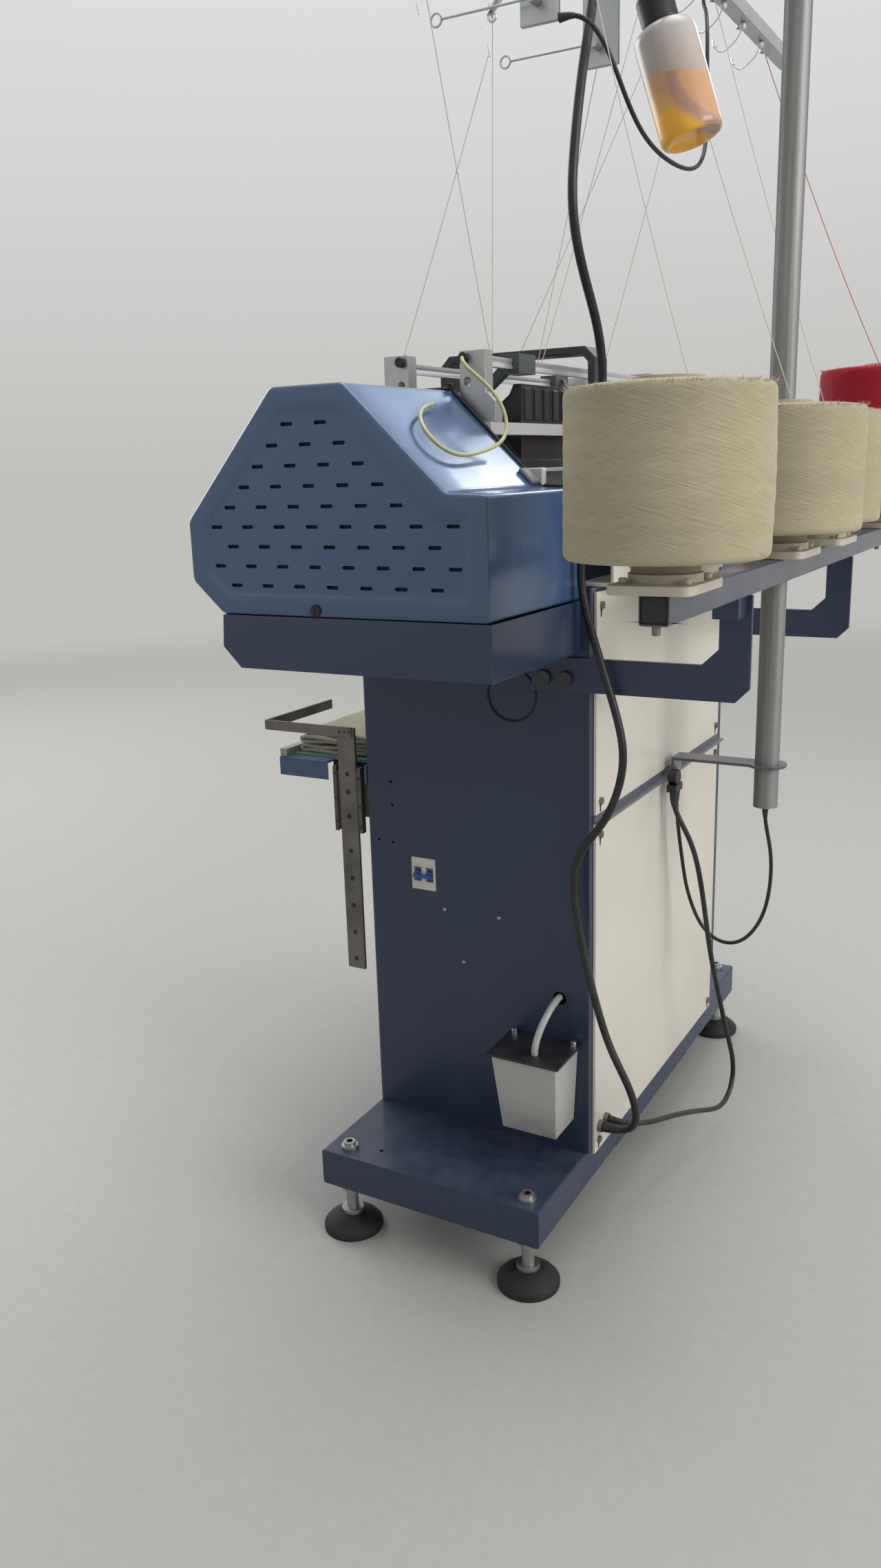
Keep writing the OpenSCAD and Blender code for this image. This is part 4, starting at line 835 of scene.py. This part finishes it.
bright_wire = plated("bright wire", (0.7, 0.7, 0.71), 0.18, 0.1)
porcelain = moulded("porcelain", (0.72, 0.71, 0.68), 0.16, 0.02)
pressed = plated("pressed sheet", (0.62, 0.63, 0.65), 0.24, 0.15)
for number, middle in ((1, 398), (2, 243)):
    t = np.linspace(0, 1, 22)[:, None]
    y, z = arc_line(t)
    grid = np.stack(np.broadcast_arrays(
        middle + np.array([-9, -8, 8, 9]) * (1 - 0.45 * t), y, z + np.array([-3, 0, 0, -3])), -1)
    plate = piece(f"guide_arc_{number}", spots(*grid.reshape(-1, 3)), lattice(22, 4), pressed)
    modify(plate, "SOLIDIFY", thickness=0.0012, offset=0)
    for k, (along, radius, finish) in enumerate((
            (0.2, 7, porcelain), (0.45, 6, porcelain), (0.97, 4.5, bright_wire))):
        y, z = arc_line(along)
        ring(f"guide_eye_{number}_{k}", (middle, y, z - 8), radius, 1.3, finish)
    t = np.linspace(0, 9 * 2 * np.pi, 190)[:, None]
    coil = np.hstack([middle + 4 + t * 0.42, 128 + 5 * np.cos(t), 1494 + 5 * np.sin(t)])
    tube(f"tension_spring_{number}", coil, 0.55, bright_wire, sides=6)
    wire = curve([[middle, 6, 1490], [middle + 1, 3, 1470], [middle + 2, 4, 1448], [middle + 2, 7, 1436]], 6)
    tube(f"arc_wire_{number}", wire, 0.8, bright_wire, sides=8)
for k in range(8):
    x = 330 - 88 * k
    hook = curve([[x, 160, bar_z - 4], [x, 152, bar_z - 20], [x + 4, 134, bar_z - 33],
                  [x + 10, 124, bar_z - 26], [x + 4, 120, bar_z - 17], [x - 3, 124, bar_z - 24]], 6)
    tube(f"bar_hook_{k}", hook, 1.0, bright_wire, sides=8)
    tube(f"bar_hook_foot_{k}", [[x, 160, bar_z - 3], [x, 160, bar_z - 9]], 4, porcelain, sides=16)

# Small fittings: a dark rubber ring round the column's pressed disc, as painted shade for its groove, the
# rubber edging and the buffer of the near hood, dome-headed screws and rivets, the keyholes of the back
# panels in painted shade, a strip and a stiffener at the tray, and a pale block beside the head.


def dome(name, centre, radius, height, finish, body="machine"):
    """A screw head that faces +X: p = c + r cos t circle(a) + (h sin t, 0, 0), closed at its back."""
    rows, sides = 5, 16
    t = np.linspace(0, np.pi / 2, rows + 1)[:-1, None, None]
    rim = radius * np.cos(t) * circle(np.linspace(0, 2 * np.pi, sides, endpoint=False))
    rim = rim + height * np.sin(t) * [1, 0, 0]
    points = np.concatenate([rim.reshape(-1, 3), [[height, 0, 0]]]) + centre
    last, back = (rows - 1) * sides + np.arange(sides), np.arange(sides)[::-1]
    tip = np.column_stack([last, np.roll(last, -1), np.full(sides, rows * sides)])
    faces = lattice(rows, sides, closed=True).tolist() + tip.tolist() + [back]
    return piece(name, spots(*points), faces, finish, body)


# A dark rubber ring round the pressed disc: painted shade for the groove that rings the disc.
ring("disc_groove_shade", (265.3, 32.5, 727), 33, 1.3, rubber)
tube("hood_edging", curve([[266, -139, 1089], [266, -44, 1089.5], [266, -38, 1086], [266, 72, 978],
                           [266, 80, 976.4], [266, 119, 974.6]], 6), 2.2, rubber, sides=10)
dull_screw = plated("dull screw", (0.3, 0.29, 0.27), 0.3, 0.4)
rivet = plated("dark rivet", (0.05, 0.046, 0.042), 0.4, 0.4, 0.8)
for name, x, radius, height, finish, body, places in (
        ("column_screw", 264.8, 3.2, 1.8, dull_screw, "machine", ((-72, 429), (9, 430), (-45, 358))),
        ("press_rivet", 259.9, 3.6, 1.4, rivet, "press_slide", [
            (-221.5, z) for z in (330, 370, 410, 450, 490, 540, 575, 600)]),
        ("press_joint_rivet", 262.9, 1.9, 1, rivet, "press_slide", [(y, 659) for y in (-229, -221, -214)]),
        ("slide_screw", 261.8, 2, 1, rivet, "machine", (
            (-241, 532), (-241, 565), (-241, 600), (-202, 527), (-202, 556), (-202, 596)))):
    for k, (y, z) in enumerate(places):
        dome(f"{name}_{k}", (x, y, z), radius, height, finish, body)
# Each keyhole is a near-black shape on the panel: painted shade for its opening.
for k, (x, z) in enumerate((x, z) for x in (-221, 251) for z in (137, 558, 601, 839)):
    keyhole = [[x, 143.2, z - 4], [x, 143.2, z - 9], [x, 143.2, z - 14]]
    tube(f"panel_keyhole_{k}", keyhole, [2.4, 1.7, 1.5], hole_shade, sides=10)

unit_box = np.array([[x, y, z] for x in (0, 1) for y in (0, 1) for z in (0, 1)], float)
box_faces = np.array([[0, 1, 3, 2], [4, 6, 7, 5], [0, 4, 5, 1], [2, 3, 7, 6], [0, 2, 6, 4], [1, 5, 7, 3]])
strip_steel = plated("strip steel", (0.42, 0.39, 0.33), 0.4, 0.5, 0.7)
pale_block = moulded("pale block", (0.62, 0.6, 0.54), 0.5, 0.1)
for name, low, high, finish, rounding in (
        ("tray_strip", [-200, -330.5, 616.2], [263, -319.5, 627], strip_steel, 0.0004),
        ("tray_stiffener", [246.6, -252, 590.5], [248, -189, 615.5], stand_paint, 0.0004),
        ("head_block", [253.2, 50, 963], [264.4, 76, 996.5], pale_block, 0.002)):
    corners = low + unit_box * np.subtract(high, low)
    modify(piece(name, spots(*corners), box_faces, finish, smooth=False), "BEVEL", width=rounding, segments=3)
# The buffer lies on the lower corner of the cover's slope. Its box is turned to run up the slope.
up_slope, out_of_slope = np.array([[-0.722, 0.6915], [0.6915, 0.722]])
x, length, thick = (np.array([267.5, 3, -0.5]) + unit_box * [20, 24, 6]).T[..., None]
pad = np.hstack([x, np.array([74, 975.5]) + length * up_slope + thick * out_of_slope])
buffer = piece("hood_buffer", spots(*pad), box_faces[:, ::-1],
               moulded("grey buffer", (0.17, 0.17, 0.185), 0.5, 0.1), smooth=False)
modify(buffer, "BEVEL", width=0.0028, segments=4)

# The yarn: single strands that rise from the packages to the bar, pass its guides and come down to the head,
# three of them beside the near brackets and the others on the feeder rails.


def hanging(start, end, sag):
    """A line from start to end that hangs below the straight one by 4 sag t (1 - t)."""
    t = np.linspace(0, 1, 24)[:, None]
    return np.array(start) * (1 - t) + np.array(end) * t - np.array([0, 0, 1]) * 4 * sag * t * (1 - t)


thread = moulded("yarn strand", (0.62, 0.6, 0.52), 0.85, 0)
red_thread = moulded("red strand", (0.5, 0.04, 0.05), 0.85, 0)
for number, start, end, sag, finish in (
        ("1", [455, table_y, 1066], [360, 145, 1566], 14, thread),
        ("2", [66, table_y, 1058], [120, 145, 1566], 10, thread),
        ("3", [-109, table_y, 1058], [-120, 145, 1566], 10, thread),
        ("red", [-471, table_y, 1132], [-360, 145, 1566], 14, red_thread),
        ("4", [398, 10, 1478], [231.5, -6, 1128], 3, thread),
        ("5", [243, 10, 1478], [233.5, -2, 1128], 3, thread),
        ("6", [245, 5, 1437], [232, -127, 1128], 3, thread),
        ("7", [158, 124, 1540], [100, -5, 1126], 3, thread),
        ("8", [70, 124, 1540], [88, -5, 1126], 3, thread),
        ("9", [-18, 124, 1540], [-72, -128, 1126], 3, thread),
        ("10", [-106, 124, 1540], [-120, -5, 1126], 3, thread)):
    tube(f"strand_{number}", hanging(start, end, sag), 0.55, finish, sides=6)
